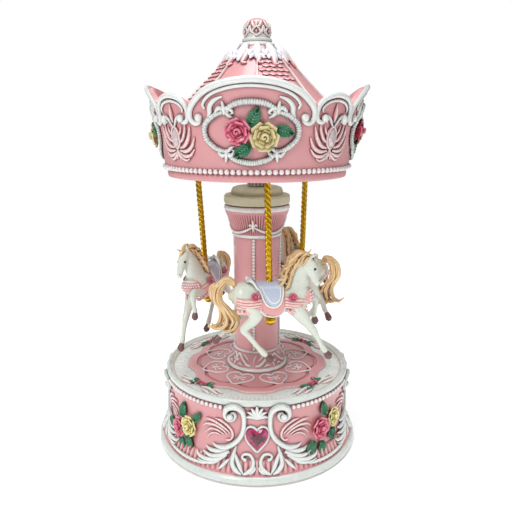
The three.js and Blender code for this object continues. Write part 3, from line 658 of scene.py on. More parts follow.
def flatStrokes(name, strokes, z, **more):
    # strokes of (degrees, radius, half width) lying on the deck
    def laid(d, r, w):
        return r * math.sin(math.radians(d)), -r * math.cos(math.radians(d)), w
    p, faces, relief = strokeMesh(remade(strokes, laid), **more)
    item = newObject(name, np.column_stack([p[:, 0], p[:, 1], z + p[:, 2]]), (), faces)
    setRelief(item, relief)
    return item


def deckMat():
    top = deckZ + deck["matRise"]
    outline = [(19.0, deckZ), (19.0, top - 0.2), (34.6, top - 0.2), (36.0, top - 0.35), (36.4, top - 1.2),
               (37.6, top - 1.25), (38.2, top - 0.9), (38.6, top), (43.2, top + 0.1), (43.9, top - 0.1),
               (44.3, top - 0.7), (44.4, deckZ)]
    mat = spunProfile("deckMat", outline, 288)
    p = coords(mat)
    setRelief(mat, np.where(np.hypot(p[:, 0], p[:, 1]) > 43.6, 0.55, 0.0))

    def wavy(deg, r, z):
        phase = np.radians(deck["lobes"] * deg)
        wave = np.cos(phase) + 0.35 * np.cos(2 * phase + math.pi)
        return r + wave * np.clip((r - 30) / 6, 0, 1) * 1.5, z
    return reshaped(mat, wavy)


done(deckMat(), "base", pinkResin)

ribStrokes = [[(d, 48.6, 0.62), (d, 52.0, 0.66), (d, 55.4, 0.62)]
              for d in np.arange(0, 360, 360 / deck["ribs"])]
done(flatStrokes("deckRadialRibs", ribStrokes, deckZ + 0.05, height=0.8, step=3.0), "base", whiteResin)
deckWhite = spunProfile("deckWhiteRing", [(40, deckZ), (40, deckZ + 0.15), (48.4, deckZ + 0.35),
                                          (55.6, deckZ + 0.35), (55.6, deckZ)], 240)
done(deckWhite, "base", whiteResin)

heartOutline = halfToWhole([(0, 24.0, 0.55), (-7.6, 21.8, 0.6), (-15.4, 23.2, 0.65), (-18.4, 26.8, 0.65),
                            (-14.4, 30.8, 0.65), (-7.0, 34.0, 0.65), (0, 37.0, 0.6)])[:-1]
fleur = [[(0, 25.6, 0.3), (0, 28.6, 0.75), (0, 31.6, 0.3)]]
fleur += mirrored([[(1, 27.0, 0.3), (6.0, 27.6, 0.7), (8.4, 25.8, 0.3)],
                   [(1, 28.4, 0.3), (4.6, 30.0, 0.6), (7.6, 29.4, 0.25)]])
heartTurns = [22.5 + 45 * i for i in range(deck["hearts"])]
hearts = flatStrokes("deckHearts", [{"loop": heartOutline}] + fleur, deckZ + deck["matRise"] - 0.15,
                     height=1.0)
done(turnedCopies(hearts, heartTurns, "deckHearts"), "base", whiteOnPink)

sprigWhite = mirrored([[(3, 49.6, 0.5), (9, 49.0, 1.1), (15, 50.6, 0.9), (19, 52.4, 0.4)],
                       [(6, 51.6, 0.5), (11, 53.0, 1.0), (14, 54.2, 0.4)],
                       [(12, 48.0, 0.4), (16, 48.2, 0.9), (21, 50.0, 0.4)]])
sprigs = flatStrokes("deckAcanthus", sprigWhite, deckZ + 0.7, height=1.1)
done(turnedCopies(sprigs, [45, 135, 225, 315], "deckAcanthus"), "base", whiteOnPink)


def onDeck(degrees, radius, z, spin, size):
    return (Matrix.Rotation(math.radians(degrees), 4, "Z") @ Matrix.Translation((0, -radius, z))
            @ Matrix.Rotation(math.radians(spin), 4, "Z") @ Matrix.Scale(size, 4))


deckRoses = [onDeck(d + s, 47.6, deckZ + 1.2, 20, 1.9) for d in (45, 135, 225, 315) for s in (-2.0, 2.6)]
deckLeaves = [onDeck(d + s, r, deckZ + 1.3, spin, 4.6) for d in (45, 135, 225, 315)
              for s, r, spin in ((-5, 47.4, 70), (5.4, 47.6, -80), (-4, 49.2, 110), (4.6, 46.0, -40))]
done(placed(rosePattern, deckRoses, "deckRoses"), "base", rosePink)
done(placed(leafPattern, deckLeaves, "deckLeaves"), "base", leafGreen)
print("deck ready")


# The column: beaded up the shaft, scrolled at the foot, fluted at the top.
column = {"beadTurn": -8.0, "beadPitch": 2.0, "beadRadius": 1.05, "flutes": 72}
columnTurns = [column["beadTurn"] + 90 * i for i in range(4)]
flareZ = [50, 52.5, 54.5, 57, 60, 62.4, 133]
flareR = [18.8, 17.6, 16.4, 15.5, 14.9, 14.0, 14.0]


def flareWall(z):
    return np.interp(z, flareZ, flareR)


columnOutline = [(18.6, 48.3), (18.7, 50.2), (18.0, 51.4), (17.2, 52.8), (16.4, 54.5), (15.8, 56.2),
                 (15.4, 58), (15.0, 59.4), (14.8, 60.2), (14.4, 61.4), (14.0, 62.4), (14.0, 86),
                 (14.0, 110), (14.0, 133.4), (15.0, 134.2), (15.4, 137.2), (15.6, 138.6), (16.2, 141),
                 (17.0, 143.6), (18.0, 146.2), (19.2, 148.8), (19.8, 149.8), (20.0, 151), (20.0, 153.6),
                 (10, 153.6), (10, 48.3)]
columnSkin = spunProfile("columnSkin", columnOutline, 432)


def fluted(deg, r, z):
    wave = 0.8 * np.abs(np.cos(np.radians(deg * column["flutes"] / 2))) - 0.5
    return r + np.where((z > 136.5) & (z < 149.4) & (r > 12), wave, 0), z


setRelief(columnSkin, 0)
reshaped(columnSkin, fluted)
done(columnSkin, "base", pinkResin, ["column"])
rings = [spunProfile("ring", [(r - 1.2, z - h), (r - 0.1, z - h * 0.8), (r + 0.5, z - h * 0.2),
                              (r + 0.5, z + h * 0.3), (r, z + h * 0.8), (r - 1.0, z + h)], 160)
         for r, z, h in ((19.1, 49.7, 1.5), (14.9, 60.9, 0.8), (15.2, 135.4, 1.3), (19.9, 152.0, 1.9))]
columnRings = joined("columnWhiteRings", rings)
setRelief(columnRings, 0.7)
done(columnRings, "base", whiteResin)

columnBeads = [Matrix.Rotation(math.radians(turn), 4, "Z") @ Matrix.Translation((0, -14.25, z))
               for turn in columnTurns for z in np.arange(63.0, 134.0, column["beadPitch"])]
done(placed(makeBead(column["beadRadius"]), columnBeads, "columnBeads", last=True), "base", pearlBead)

footScroll = mirrored([[(40, 52.6, 0.5), (30, 53.2, 0.8), (18, 56.0, 0.9), (9, 58.6, 0.8), (3, 57.8, 0.8),
                        (2, 55.6, 0.7), (6, 54.4, 0.6), (9, 55.8, 0.4)],
                       [(34, 55.6, 0.3), (27, 57.4, 0.7), (20, 59.2, 0.3)],
                       [(22, 52.2, 0.3), (15, 53.0, 0.7), (10, 52.4, 0.3)]])
footScroll += [[(-45, 54.0, 0.3), (-43, 57.0, 0.7), (-38, 59.0, 0.3)],
               [(0, 51.8, 0.4), (0, 53.4, 0.7), (0, 55.0, 0.3)]]
footRelief = wrapped("columnFootRelief", footScroll, flareWall, lift=0.1, height=0.9, step=0.5)
done(turnedCopies(footRelief, [turn + 45 for turn in columnTurns], "columnFootRelief"), "base",
     whiteOnPink)


def capitalWall(z):
    return np.interp(z, [133, 138.6, 143.6, 149.8, 155], [15.2, 15.7, 17.1, 19.8, 20])


capitalStrokes = [[(3, 141.4, 0.5), (14, 139.6, 0.75), (30, 137.9, 0.8), (45, 137.4, 0.8),
                   (60, 137.9, 0.8), (76, 139.6, 0.75), (87, 141.4, 0.5)],
                  [(0, 138.6, 0.3), (0, 142.0, 0.9), (0, 146.2, 0.3)]]
capitalStrokes += mirrored([[(1, 141.4, 0.4), (6, 143.4, 0.7), (8, 142.0, 0.3)]])
capitalRelief = wrapped("capitalSwags", capitalStrokes, capitalWall, lift=0.3, height=0.9, step=0.6)
done(turnedCopies(capitalRelief, columnTurns, "capitalSwags"), "base", whiteOnPink)
print("column ready")


# The crown of the canopy: four large arches, with a small one between each two.
crown = {"low": 171.8, "wall": 3.0, "spring": 207, "largeRise": 15.5, "largeHalf": 31, "smallRise": 9.0,
         "smallHalf": 14, "bandTop": 178, "bandRadius": 55.2, "flare": 8.6, "flareHeight": 44,
         "beads": 110, "beadRadius": 1.5}
crownLipZ = [171, 171.6, 172.6, 174, 175.4, 176.2, 176.8, 178]
crownLipR = [52.7, 53.4, 53.8, 53.9, 53.8, 53.4, 53.9, 55.2]


def crownWall(z):
    z = np.asarray(z, float)
    rise = np.maximum(0, (z - crown["bandTop"]) / crown["flareHeight"])
    upper = crown["bandRadius"] + crown["flare"] * rise ** 1.25
    return np.where(z < crown["bandTop"], np.interp(z, crownLipZ, crownLipR), upper)


def crownEdge(localDegrees):
    fromLarge = (np.asarray(localDegrees) + 45) % 90 - 45
    fromSmall = 45 - np.abs(fromLarge)
    large = crown["largeRise"] * np.sqrt(np.maximum(0, 1 - (fromLarge / crown["largeHalf"]) ** 2))
    small = crown["smallRise"] * np.sqrt(np.maximum(0, 1 - (fromSmall / crown["smallHalf"]) ** 2))
    return crown["spring"] + np.where(np.abs(fromLarge) < crown["largeHalf"], large, small)


def crownShell():
    up = np.concatenate([np.linspace(0, 0.18, 9), np.linspace(0.22, 1, 22)])
    outline = [(2.0, t) for t in up] + [(1.0, t) for t in up[::-1][::3]]
    item = spunProfile("crownShell", outline, 480)

    def raised(deg, r, t):
        edge = crownEdge(deg - canopyTurn)
        z = np.where(t < 0.2, crown["low"] + t * 40,
                     crown["low"] + 8 + (t - 0.2) / 0.8 * (edge - crown["low"] - 8))
        outer = crownWall(z)
        return np.where(r > 1.5, outer, outer - crown["wall"]), z
    return reshaped(item, raised)


shellCrown = crownShell()
setRelief(shellCrown, 0)
done(shellCrown, "canopy", pinkResin, ["canopy_crown"])

archRoll = halfToWhole([(-25.6, 204.6, 1.2), (-26.6, 202.6, 1.3), (-29.4, 202.0, 1.4),
                        (-31.6, 204.6, 1.5), (-30.9, 209.0, 1.6), (-27.3, 213.2, 1.6),
                        (-22.4, 217.0, 1.65), (-17.0, 219.6, 1.7), (-10.7, 221.4, 1.7),
                        (-4.2, 222.3, 1.7), (0, 222.5, 1.7)])
archThin = halfToWhole([(-22.4, 208.8, 0.5), (-23.2, 211.2, 0.75), (-20.6, 214.4, 0.85),
                        (-16.2, 216.9, 0.85), (-8.9, 218.9, 0.85), (0, 219.7, 0.85)])
archTongue = [(-22.0, 203.4, 0.5), (-20.0, 206.6, 1.3), (-19.6, 210.0, 1.3), (-17.0, 213.0, 1.0),
              (-13.0, 214.6, 0.4)]
smallRoll = halfToWhole([(-6.3, 204.2, 1.1), (-8.2, 202.4, 1.2), (-11.0, 203.4, 1.3),
                         (-12.2, 207.0, 1.35), (-11.0, 211.2, 1.4), (-7.0, 214.6, 1.4), (0, 216.0, 1.4)])
smallThin = halfToWhole([(-8.6, 207.4, 0.4), (-8.8, 209.6, 0.7), (-5.6, 212.2, 0.75), (0, 213.3, 0.75)])
archEnds = [onWall(s * 26.4, 204.6, float(crownWall(205)) + 0.6) for s in (-1, 1)]
smallEnds = [onWall(45 + s * 7.0, 204.4, float(crownWall(205)) + 0.6) for s in (-1, 1)]
whiteArches = wrapped("whiteArches", [archRoll, archThin, archTongue] + mirrored([archTongue])[1:]
                      + shifted([smallRoll, smallThin], 45), crownWall, lift=0.5, height=0.85)
curlBalls = placed(makeBead(2.2), archEnds + smallEnds, "curlBalls", last=True)
archParts = joined("crownMouldings", [whiteArches, curlBalls])
canopyQuarters = [canopyTurn + 90 * i for i in range(4)]
done(turnedCopies(archParts, canopyQuarters, "crownMouldings"), "canopy", whiteResin)

ropeTop = halfToWhole([(-11.6, 206.8, 1.1), (-9.6, 209.8, 1.4), (-5.7, 211.6, 1.5), (0, 212.2, 1.5)])
ropeFoot = halfToWhole([(12.2, 187.2, 1.1), (9.4, 184.4, 1.4), (5.2, 182.9, 1.5), (0, 182.1, 1.5)])
ropeRight = [(13.2, 207.4, 1.1), (18.0, 205.6, 1.4), (22.4, 202.0, 1.5), (23.8, 197.6, 1.5),
             (22.4, 193.2, 1.5), (18.0, 189.4, 1.4), (13.2, 187.8, 1.1)]
cartouche = [ropeTop, ropeRight, ropeFoot, mirrored([ropeRight[::-1]])[1]]
ropeRing = wrapped("cartoucheRopes", cartouche, crownWall, lift=0.7, height=0.95, step=0.28,
                   ripple=(0.16, 1.25))
clasps = []
for across, z, lean in ((-12.6, 208.2, 1), (12.6, 208.2, -1), (-12.8, 186.8, 1), (12.8, 186.8, -1)):
    upward = 1 if z > 197 else -1
    clasps += [[(across, z - upward * 2.4, 0.4), (across + 0.1, z, 1.3),
                (across - lean * 0.6, z + upward * 4.2, 0.5)],
               [(across, z, 0.8), (across - 2.2, z + upward * 1.0, 1.2),
                (across - 4.2, z - upward * 1.2, 0.7), (across - 2.6, z - upward * 2.0, 0.3)],
               [(across, z, 0.8), (across + 2.2, z + upward * 1.0, 1.2),
                (across + 4.2, z - upward * 1.2, 0.7), (across + 2.6, z - upward * 2.0, 0.3)],
               [(across, z, 0.6), (across + lean * 2.0, z - upward * 2.4, 1.0),
                (across + lean * 4.2, z - upward * 3.8, 0.3)]]
claspRelief = wrapped("clasps", clasps, crownWall, lift=1.0, height=1.0, step=0.5)
cartouches = joined("crownCartouches", [ropeRing, claspRelief])
done(turnedCopies(cartouches, canopyQuarters, "crownCartouches"), "canopy", whiteSwag)

crownPink = [onWall(-6.3 + t, 198.0, float(crownWall(198)) + 0.8, 7, 15, 6.7) for t in canopyQuarters]
crownCream = [onWall(6.3 + t, 195.5, float(crownWall(195)) + 1.0, 7, 70, 7.4) for t in canopyQuarters]
crownLeaves = []
for t in canopyQuarters:
    crownLeaves += [onWall(-0.5 + t, 200.8, float(crownWall(201)) + 1.6, 9, 28, 9.4),
                    onWall(12.0 + t, 199.2, float(crownWall(200)) + 1.6, 9, 105, 9.4),
                    onWall(-0.4 + t, 191.2, float(crownWall(191)) + 1.4, 9, -125, 9.6)]
done(placed(rosePattern, crownPink, "crownPinkRoses"), "canopy", rosePink)
done(placed(rosePattern, crownCream, "crownCreamRoses"), "canopy", roseCream)
done(placed(leafPattern, crownLeaves, "crownRoseLeaves"), "canopy", leafGreen)
done(beadRow("crownBeads", crown["beadRadius"], 55.3, 177.4, np.arange(0, 360, 360 / crown["beads"])),
     "canopy", pinkBead)

# small arches: a pink fleur over a crystal in a frame, leaves on both sides
motifPink = [[(0, 202.4, 0.5), (0, 206.4, 1.3), (0, 211.6, 0.3)],
             {"loop": halfToWhole([(0, 188.9, 0.8), (2.6, 191.2, 0.8), (3.2, 194.4, 0.85), (2.6, 197.8, 0.8),
                                   (0, 200.2, 0.8)])[:-1]}]
motifLeaf = [[(2.6, 189.2, 0.6), (7.0, 190.6, 1.3), (10.2, 194.6, 1.2), (12.2, 200.4, 0.4)],
             [(2.9, 192.0, 0.5), (6.0, 194.0, 1.1), (8.2, 198.0, 0.9), (9.0, 202.0, 0.35)],
             [(3.0, 195.4, 0.4), (4.8, 197.6, 0.8), (6.0, 200.6, 0.3)],
             [(2.0, 187.8, 0.6), (7.4, 187.6, 1.3), (11.6, 190.0, 1.1), (14.2, 194.8, 0.4)],
             [(1.3, 186.8, 0.5), (5.6, 185.0, 1.2), (10.0, 185.6, 1.0), (13.2, 188.8, 0.4)],
             [(0.6, 187.4, 0.6), (2.6, 184.4, 1.0), (6.4, 182.8, 0.8), (9.0, 183.8, 0.35)],
             [(0.2, 188.4, 0.6), (0.8, 185.8, 1.0), (1.6, 183.0, 0.35)]]
motifScroll = [[(0.4, 199.8, 0.5), (3.0, 203.6, 0.9), (5.4, 205.4, 0.9), (6.4, 203.6, 0.8),
                (4.8, 202.4, 0.4)]]
smallMotif = wrapped("smallArchMotif", shifted(motifPink + mirrored(motifLeaf), 45), crownWall, lift=0.5,
                     height=1.0, step=0.6)
done(turnedCopies(smallMotif, canopyQuarters, "smallArchLeaves"), "canopy", pinkRelief)
smallScroll = wrapped("smallArchScrolls", shifted(mirrored(motifScroll), 45), crownWall, lift=0.6,
                      height=1.0, step=0.5)
done(turnedCopies(smallScroll, canopyQuarters, "smallArchScrolls"), "canopy", whiteSwag)
print("crown ready")


# small crystals between the leaves, cut like a pointed oval
def cutStone(halfWidth, halfHeight, depth):
    rim = [(halfWidth * math.sin(a), halfHeight * math.cos(a))
           for a in np.linspace(0, 2 * math.pi, 12, endpoint=False)]
    verts = [(x, y, 0) for x, y in rim] + [(x * 0.86, y * 0.86, depth * 0.55) for x, y in rim]
    verts += [(x * 0.45, y * 0.45, depth) for x, y in rim] + [(0, 0, -depth)]
    faces = [tuple(24 + i for i in range(12))]
    for i in range(12):
        j = (i + 1) % 12
        faces += [(i, j, 12 + j, 12 + i), (12 + i, 12 + j, 24 + j, 24 + i), (36, j, i)]
    stone = newObject("stone", verts, (), faces)
    return cleaned(stone, 0.001)


def crystal(name, colour, roughness=0.04):
    # cut acrylic crystal: clear and glossy, with painted reflections, its colour brighter and darker patch by
    # patch, as facets catching the light one by one
    material, shader = startMaterial(name)
    place = addNode(material, "TexCoord").outputs["Object"]
    facetGlints = addNode(material, "TexVoronoi", {"Vector": place, "Scale": 420.0}, feature="F1")
    # painted reflections: each Voronoi cell is brighter in its middle and darker at its edge
    level = ranged(material, facetGlints.outputs["Distance"], 0.0, 0.8, 1.1, 0.75)
    tint = blended(material, 1.0, linear(colour), level, blend_type="MULTIPLY")
    material.node_tree.links.new(tint, shader.inputs["Base Color"])
    shader.inputs["Roughness"].default_value = roughness
    shader.inputs["IOR"].default_value = 1.49
    shader.inputs["Transmission Weight"].default_value = 0.1
    shader.inputs["Coat Weight"].default_value = 1.0
    return material


# pale glassy points between the leaves
clearCrystal = crystal("clearAcrylicCrystal", "#f1dfe4")
stonePlaces = [onWall(t + 45, 194.4, float(crownWall(194)) + 0.5, 10.5) for t in canopyQuarters]
for n, place in enumerate(stonePlaces):
    stone = placed(cutStone(2.7, 5.4, 1.7), [place], f"crownCrystal{n + 1}", last=True)
    done(stone, "canopy", clearCrystal, [f"canopy_gem_{n + 1}"], angle=5)


# The roof: plain panels between shingled ones, under a collar of leaves.
roof = {"panels": 8, "turn": canopyTurn + 3.0}
roofZ = [204, 208.4, 217.7, 241.9, 245.6]
roofR = [55.8, 47.5, 37.4, 14.0, 10.4]


def roofWall(z):
    return np.interp(z, roofZ, roofR)


roofOutline = [(55.8, 202.4)] + [(float(roofWall(z)), z) for z in np.linspace(204, 244.4, 22)]
roofOutline += [(10.4, 245.6), (6.3, 245.6), (6.3, 214.6), (14, 214.6)]
roofShell = spunProfile("roofShell", roofOutline, 192)
setRelief(roofShell, 0)
done(roofShell, "canopy", pinkResin, ["canopy_roof"])


def roofScale():
    # one shingle, its round end down: a bent plate, thicker at the tip
    item, across, along = sheet(4, 4)
    half = np.where(along < 0.5, np.sqrt(np.maximum(0.03, 1 - (1 - along * 2) ** 2)), 1.0) * 0.54
    lift = 0.30 * (1 - along) * (1 - 0.5 * across ** 2) + 0.05
    setCoords(item, np.column_stack([across * half, along - 0.5, lift]))
    setRelief(item, np.clip(1.1 - along * 1.6, 0, 1))
    return thickened(item, 0.2)


def onRoof(degrees, z, size, wide):
    slope = float(roofWall(z + 0.5) - roofWall(z - 0.5))
    lean = 90 - math.degrees(math.atan(-slope))
    return (Matrix.Rotation(math.radians(degrees), 4, "Z") @ Matrix.Translation((0, -float(roofWall(z)), z))
            @ Matrix.Rotation(math.radians(lean), 4, "X") @ Matrix.Diagonal((wide, size, size, 1)))


scalePlaces = []
for panel in range(0, roof["panels"], 2):
    middle = roof["turn"] + 22.5 + 45 * panel
    for row, z in enumerate(np.arange(207.0, 240.5, 2.35)):
        span = 41.0
        count = max(2, int(round(math.radians(span) * roofWall(z) / 3.7)))
        for i in range(count - row % 2):
            d = middle - span / 2 + span * (i + 0.5 + 0.5 * (row % 2)) / count
            scalePlaces.append(onRoof(d, z, 3.5, math.radians(span) * float(roofWall(z)) / count))
done(placed(roofScale(), scalePlaces, "roofShingles", last=True), "canopy", pinkRelief)
ribLines = [[(roof["turn"] + 45 * i, 204.6, 1.3), (roof["turn"] + 45 * i, 222, 1.15),
             (roof["turn"] + 45 * i, 243.5, 0.8)] for i in range(8)]
done(wrapped("roofRibs", ribLines, roofWall, lift=0.2, height=0.9, step=2.0), "canopy", whiteOnPink)
fringe = [[(d, 241.0, 1.0), (d + 4, 238.0, 1.3), (d + 2, 234.6 - (i % 2) * 1.2, 0.9), (d + 9, 234.4, 0.4)]
          for i, d in enumerate(np.arange(0, 360, 24))]
done(wrapped("roofFringe", fringe, roofWall, lift=0.6, height=1.0), "canopy", pinkRelief)
collarLeaves = []
collarSides = mirrored([[(3, 243.0, 0.6), (11, 240.8, 1.1), (15, 238.6, 0.3)],
                        [(2, 240.6, 0.5), (9, 238.4, 0.9), (11, 236.8, 0.3)]])
for i, d in enumerate(np.arange(0, 360, 30)):
    middleLeaf = [(0, 245.2, 1.3), (0, 241.5, 2.1), (0, 238.4 - (i % 2), 1.2), (0, 236.6 - (i % 2), 0.3)]
    collarLeaves += shifted([middleLeaf] + collarSides, d)
done(wrapped("roofLeafCollar", collarLeaves, roofWall, lift=1.3, height=0.8), "canopy", lilacLeaf)


# The finial: a ringed foot under a small crowned dome.
finialRings = spunProfile("finialRings", [(0, 236), (6, 236), (6, 245.2), (11.2, 245.2), (10.9, 246.4),
                                          (9.6, 247.0), (8.3, 247.5), (8.8, 248.3), (8.6, 249.4),
                                          (7.6, 249.9), (7.4, 251), (7.4, 252), (0, 252)], 96,
                          closed=False)
setRelief(finialRings, 0.8)
done(finialRings, "canopy", whiteResin, ["finial"])
dome = spunProfile("finialDome", [(0, 251.5), (7.0, 251.5), (7.3, 253.5), (7.3, 255.4), (6.8, 257.2),
                                  (5.8, 258.8), (4.2, 260.0), (2.2, 260.7), (0, 260.95)], 72,
                   closed=False)
setRelief(dome, 0)
done(dome, "canopy", pinkResin)


def domeWall(z):
    return np.interp(z, [250, 252, 255.4, 257.2, 258.8, 260, 260.9], [7.4, 7.4, 7.4, 6.9, 5.9, 4.3, 1.0])


crestMotif = [{"loop": [(0, 250.6, 0.55), (17, 252.8, 0.6), (0, 255.4, 0.6), (-17, 252.8, 0.6)]},
              [(0, 255.4, 0.5), (0, 257.2, 0.8), (0, 258.8, 0.3)],
              [(-3, 253.0, 0.5), (0, 253.0, 0.8), (3, 253.0, 0.5)]]
crestMotif += mirrored([[(3, 254.6, 0.5), (16, 256.4, 0.8), (24, 258.6, 0.35)],
                        [(12, 251.4, 0.4), (24, 253.0, 0.8), (29, 256.0, 0.4)]])
crest = [stroke for d in np.arange(-3, 357, 60) for stroke in shifted(crestMotif, d)]
done(wrapped("finialCrest", crest, domeWall, lift=0.25, height=1.0, step=0.35), "canopy", whiteOnPink)
print("roof ready")


# The four heart stones of the base.
gem = {"centreZ": 27.0, "size": 0.86}
halfHeart = [(0, -8.8), (2.6, -6.8), (5.4, -3.8), (7.2, -0.4), (7.5, 2.6), (6.2, 5.6), (3.8, 6.8), (1.6, 6.2),
             (0, 4.6)]
heartShape = halfHeart + [(-x, y) for x, y in halfHeart[-2:0:-1]]


def heartStone():
    # a cut heart: girdle, two rings of facets and a table, laid face up
    levels = ((1.0, 0.0), (0.97, 0.7), (0.72, 1.8), (0.42, 2.5))
    verts = [(x * grow, y * grow + 0.2 * (1 - grow), lift) for grow, lift in levels for x, y in heartShape]
    verts.append((0, 0, 2.6))
    n = len(heartShape)
    faces = [tuple(range(n - 1, -1, -1))]
    for k in range(len(levels) - 1):
        for i in range(n):
            j = (i + 1) % n
            a, b, c, d = k * n + i, k * n + j, (k + 1) * n + j, (k + 1) * n + i
            faces += [(a, b, c), (a, c, d)] if (i + k) % 2 else [(a, b, d), (b, c, d)]
    faces += [(3 * n + i, 3 * n + (i + 1) % n, 4 * n) for i in range(n)]
    stone = newObject("heartStone", verts, (), faces)
    setRelief(stone, [0.0] * n + [0.05] * n + [0.55] * n + [0.95] * n + [1.0])
    return stone


def heartCrystal():
    # foil-backed acrylic, magenta of its own at the rim; painted reflection darkens the middle, and each
    # facet is a shade apart
    material, shader = startMaterial("foilBackedHeartCrystal")
    middle = addNode(material, "Attribute", attribute_name="relief").outputs["Fac"]
    place = addNode(material, "TexCoord").outputs["Object"]
    facet = addNode(material, "TexVoronoi", {"Vector": place, "Scale": 620.0},
                    feature="F1").outputs["Color"]
    level = addNode(material, "SeparateColor", {"Color": facet}).outputs["Red"]
    shade = addNode(material, "Math", {0: level, 1: 0.75, 2: -0.25}, operation="MULTIPLY_ADD").outputs[0]
    part = addNode(material, "Math", {0: middle, 1: shade}, operation="ADD", use_clamp=True).outputs[0]
    # painted reflection: the middle dark, the rim the stone's own magenta, each Voronoi cell a step lighter
    # or darker
    tint = blended(material, part, linear("#d8437f"), linear("#4a2328"))
    material.node_tree.links.new(tint, shader.inputs["Base Color"])
    shader.inputs["Roughness"].default_value = 0.06
    shader.inputs["IOR"].default_value = 1.49
    shader.inputs["Coat Weight"].default_value = 0.6
    return material


# magenta round a dark, winking middle; the dark middle and the winking are painted reflection
heartFoil = heartCrystal()
for side, turn in (("front", 0), ("right", 90), ("back", 180), ("left", -90)):
    stone = placed(heartStone(), [onWall(baseTurn + turn, gem["centreZ"], 57.4, size=gem["size"])],
                   f"heartGem_{side}", last=True)
    done(stone, "base", heartFoil, [f"heart_gem_{side}"], angle=4)


def mouldedPlastic(name, colour, shade, rough):
    # injection-moulded plastic: a soft even gloss with faint flow clouds, and painted shade in the corners
    material, shader = startMaterial(name)
    place = addNode(material, "TexCoord").outputs["Object"]
    flow = noise(material, place, 90.0)
    grain = noise(material, place, 1600.0)
    # painted shade: ambient occlusion darkens the corners towards the shade colour
    deep = addNode(material, "AmbientOcclusion", {"Distance": 0.004}, samples=6).outputs["AO"]
    unshadedPart = ranged(material, deep, 0.3, 0.9)
    tone = addNode(material, "Math", {0: flow, 1: 0.35, 2: 0.65}, operation="MULTIPLY_ADD").outputs[0]
    part = addNode(material, "Math", {0: unshadedPart, 1: tone}, operation="MULTIPLY").outputs[0]
    tint = blended(material, part, linear(shade), linear(colour))
    bump = addNode(material, "Bump", {"Strength": 0.06, "Distance": 0.0001, "Height": grain}).outputs[0]
    material.node_tree.links.new(tint, shader.inputs["Base Color"])
    material.node_tree.links.new(bump, shader.inputs["Normal"])
    shader.inputs["Roughness"].default_value = rough
    shader.inputs["IOR"].default_value = 1.5
    return material


def metalFinish(name, colour, streakAndShadeColour, rough, streak):
    # worked metal: fine streaks of the tool, and the hollows darkened by painted shade
    material, shader = startMaterial(name)
    place = addNode(material, "TexCoord").outputs["Object"]
    drawn = addNode(material, "Mapping", {"Vector": place, "Scale": (1.0, 1.0, streak)}).outputs[0]
    lines = noise(material, drawn, 900.0, 3.0)
    # painted shade: ambient occlusion darkens the hollows towards the darker colour, as the low streaks do
    deep = addNode(material, "AmbientOcclusion", {"Distance": 0.0015}, samples=6).outputs["AO"]
    unshadedMetal = ranged(material, deep, 0.25, 0.8)
    tone = addNode(material, "Math", {0: lines, 1: 0.5, 2: 0.6}, operation="MULTIPLY_ADD").outputs[0]
    part = addNode(material, "Math", {0: unshadedMetal, 1: tone}, operation="MULTIPLY", use_clamp=True).outputs[0]
    tint = blended(material, part, linear(streakAndShadeColour), linear(colour))
    gloss = ranged(material, lines, toLow=rough - 0.06, toHigh=rough + 0.12)
    material.node_tree.links.new(tint, shader.inputs["Base Color"])
    material.node_tree.links.new(gloss, shader.inputs["Roughness"])
    shader.inputs["Metallic"].default_value = 1.0
    return material


# plain cream cap, duller than the resin
creamAbs = mouldedPlastic("creamMouldedAbs", "#ddd7b9", "#a89e7c", 0.38)
# bright gear white
whiteAbs = mouldedPlastic("whiteMouldedNylon", "#e6e6df", "#a3a296", 0.38)
# near-black, so the underside recedes
blackAbs = mouldedPlastic("blackMouldedAbs", "#26262a", "#131315", 0.4)
# bright yellow gold, with painted shade drawing dark lines in the grooves of the twist
goldBrass = metalFinish("goldPlatedBrass", "#e3b52c", "#5e4306", 0.20, 0.25)
# softer, browner brass
movementBrass = metalFinish("brushedMovementBrass", "#d8b765", "#7a5a20", 0.30, 0.12)
# cool bright screws and teeth
brightSteel = metalFinish("brightTurnedSteel", "#c4c6c8", "#5c5e60", 0.28, 0.3)
# flat grey casting
zincCasting = metalFinish("zincDieCasting", "#a3a4a2", "#5a5b5a", 0.48, 1.0)
finishes = [("column_cap", creamAbs), ("sun_gear", whiteAbs), ("canopy_hub", whiteAbs),
            ("canopy_floor", whiteAbs), ("bottom_cover", blackAbs), ("cover_screw", brightSteel),
            ("plate_screw", brightSteel), ("comb_screw", brightSteel), ("bracket_screw", brightSteel),
            ("drive_shaft", brightSteel), ("tuned_comb", brightSteel), ("winding_key", goldBrass),
            ("pole_", goldBrass), ("crank_bracket", creamAbs), ("crank", whiteAbs),
            ("air_brake", whiteAbs), ("spring_barrel", movementBrass), ("pinned_cylinder", movementBrass),
            ("movement_plate", zincCasting), ("bush", movementBrass)]
for name, node in frame["nodes"].items():
    chosen = next((m for start, m in finishes if start in name), zincCasting)
    node.data.materials.clear()
    node.data.materials.append(chosen)
print("finishes ready")


# The horses: one is modelled, then copied on to each pole.
# Horse places are (along, outward, up) in mm from the middle of the ball under the belly.
horse = {"voxel": 0.42, "smooth": 4, "grow": 0.96}
torso = [(-22.4, 16.0, 3.0, 3.4), (-20.8, 16.0, 6.0, 6.2), (-17.4, 15.9, 8.0, 8.3),
         (-12.0, 15.2, 8.3, 8.9), (-5.0, 14.4, 8.0, 8.7), (3.0, 13.9, 8.3, 9.0), (11.0, 13.6, 8.4, 9.1),
         (16.6, 14.2, 7.6, 8.7), (20.6, 14.6, 6.0, 7.2), (23.2, 14.4, 3.2, 4.0)]


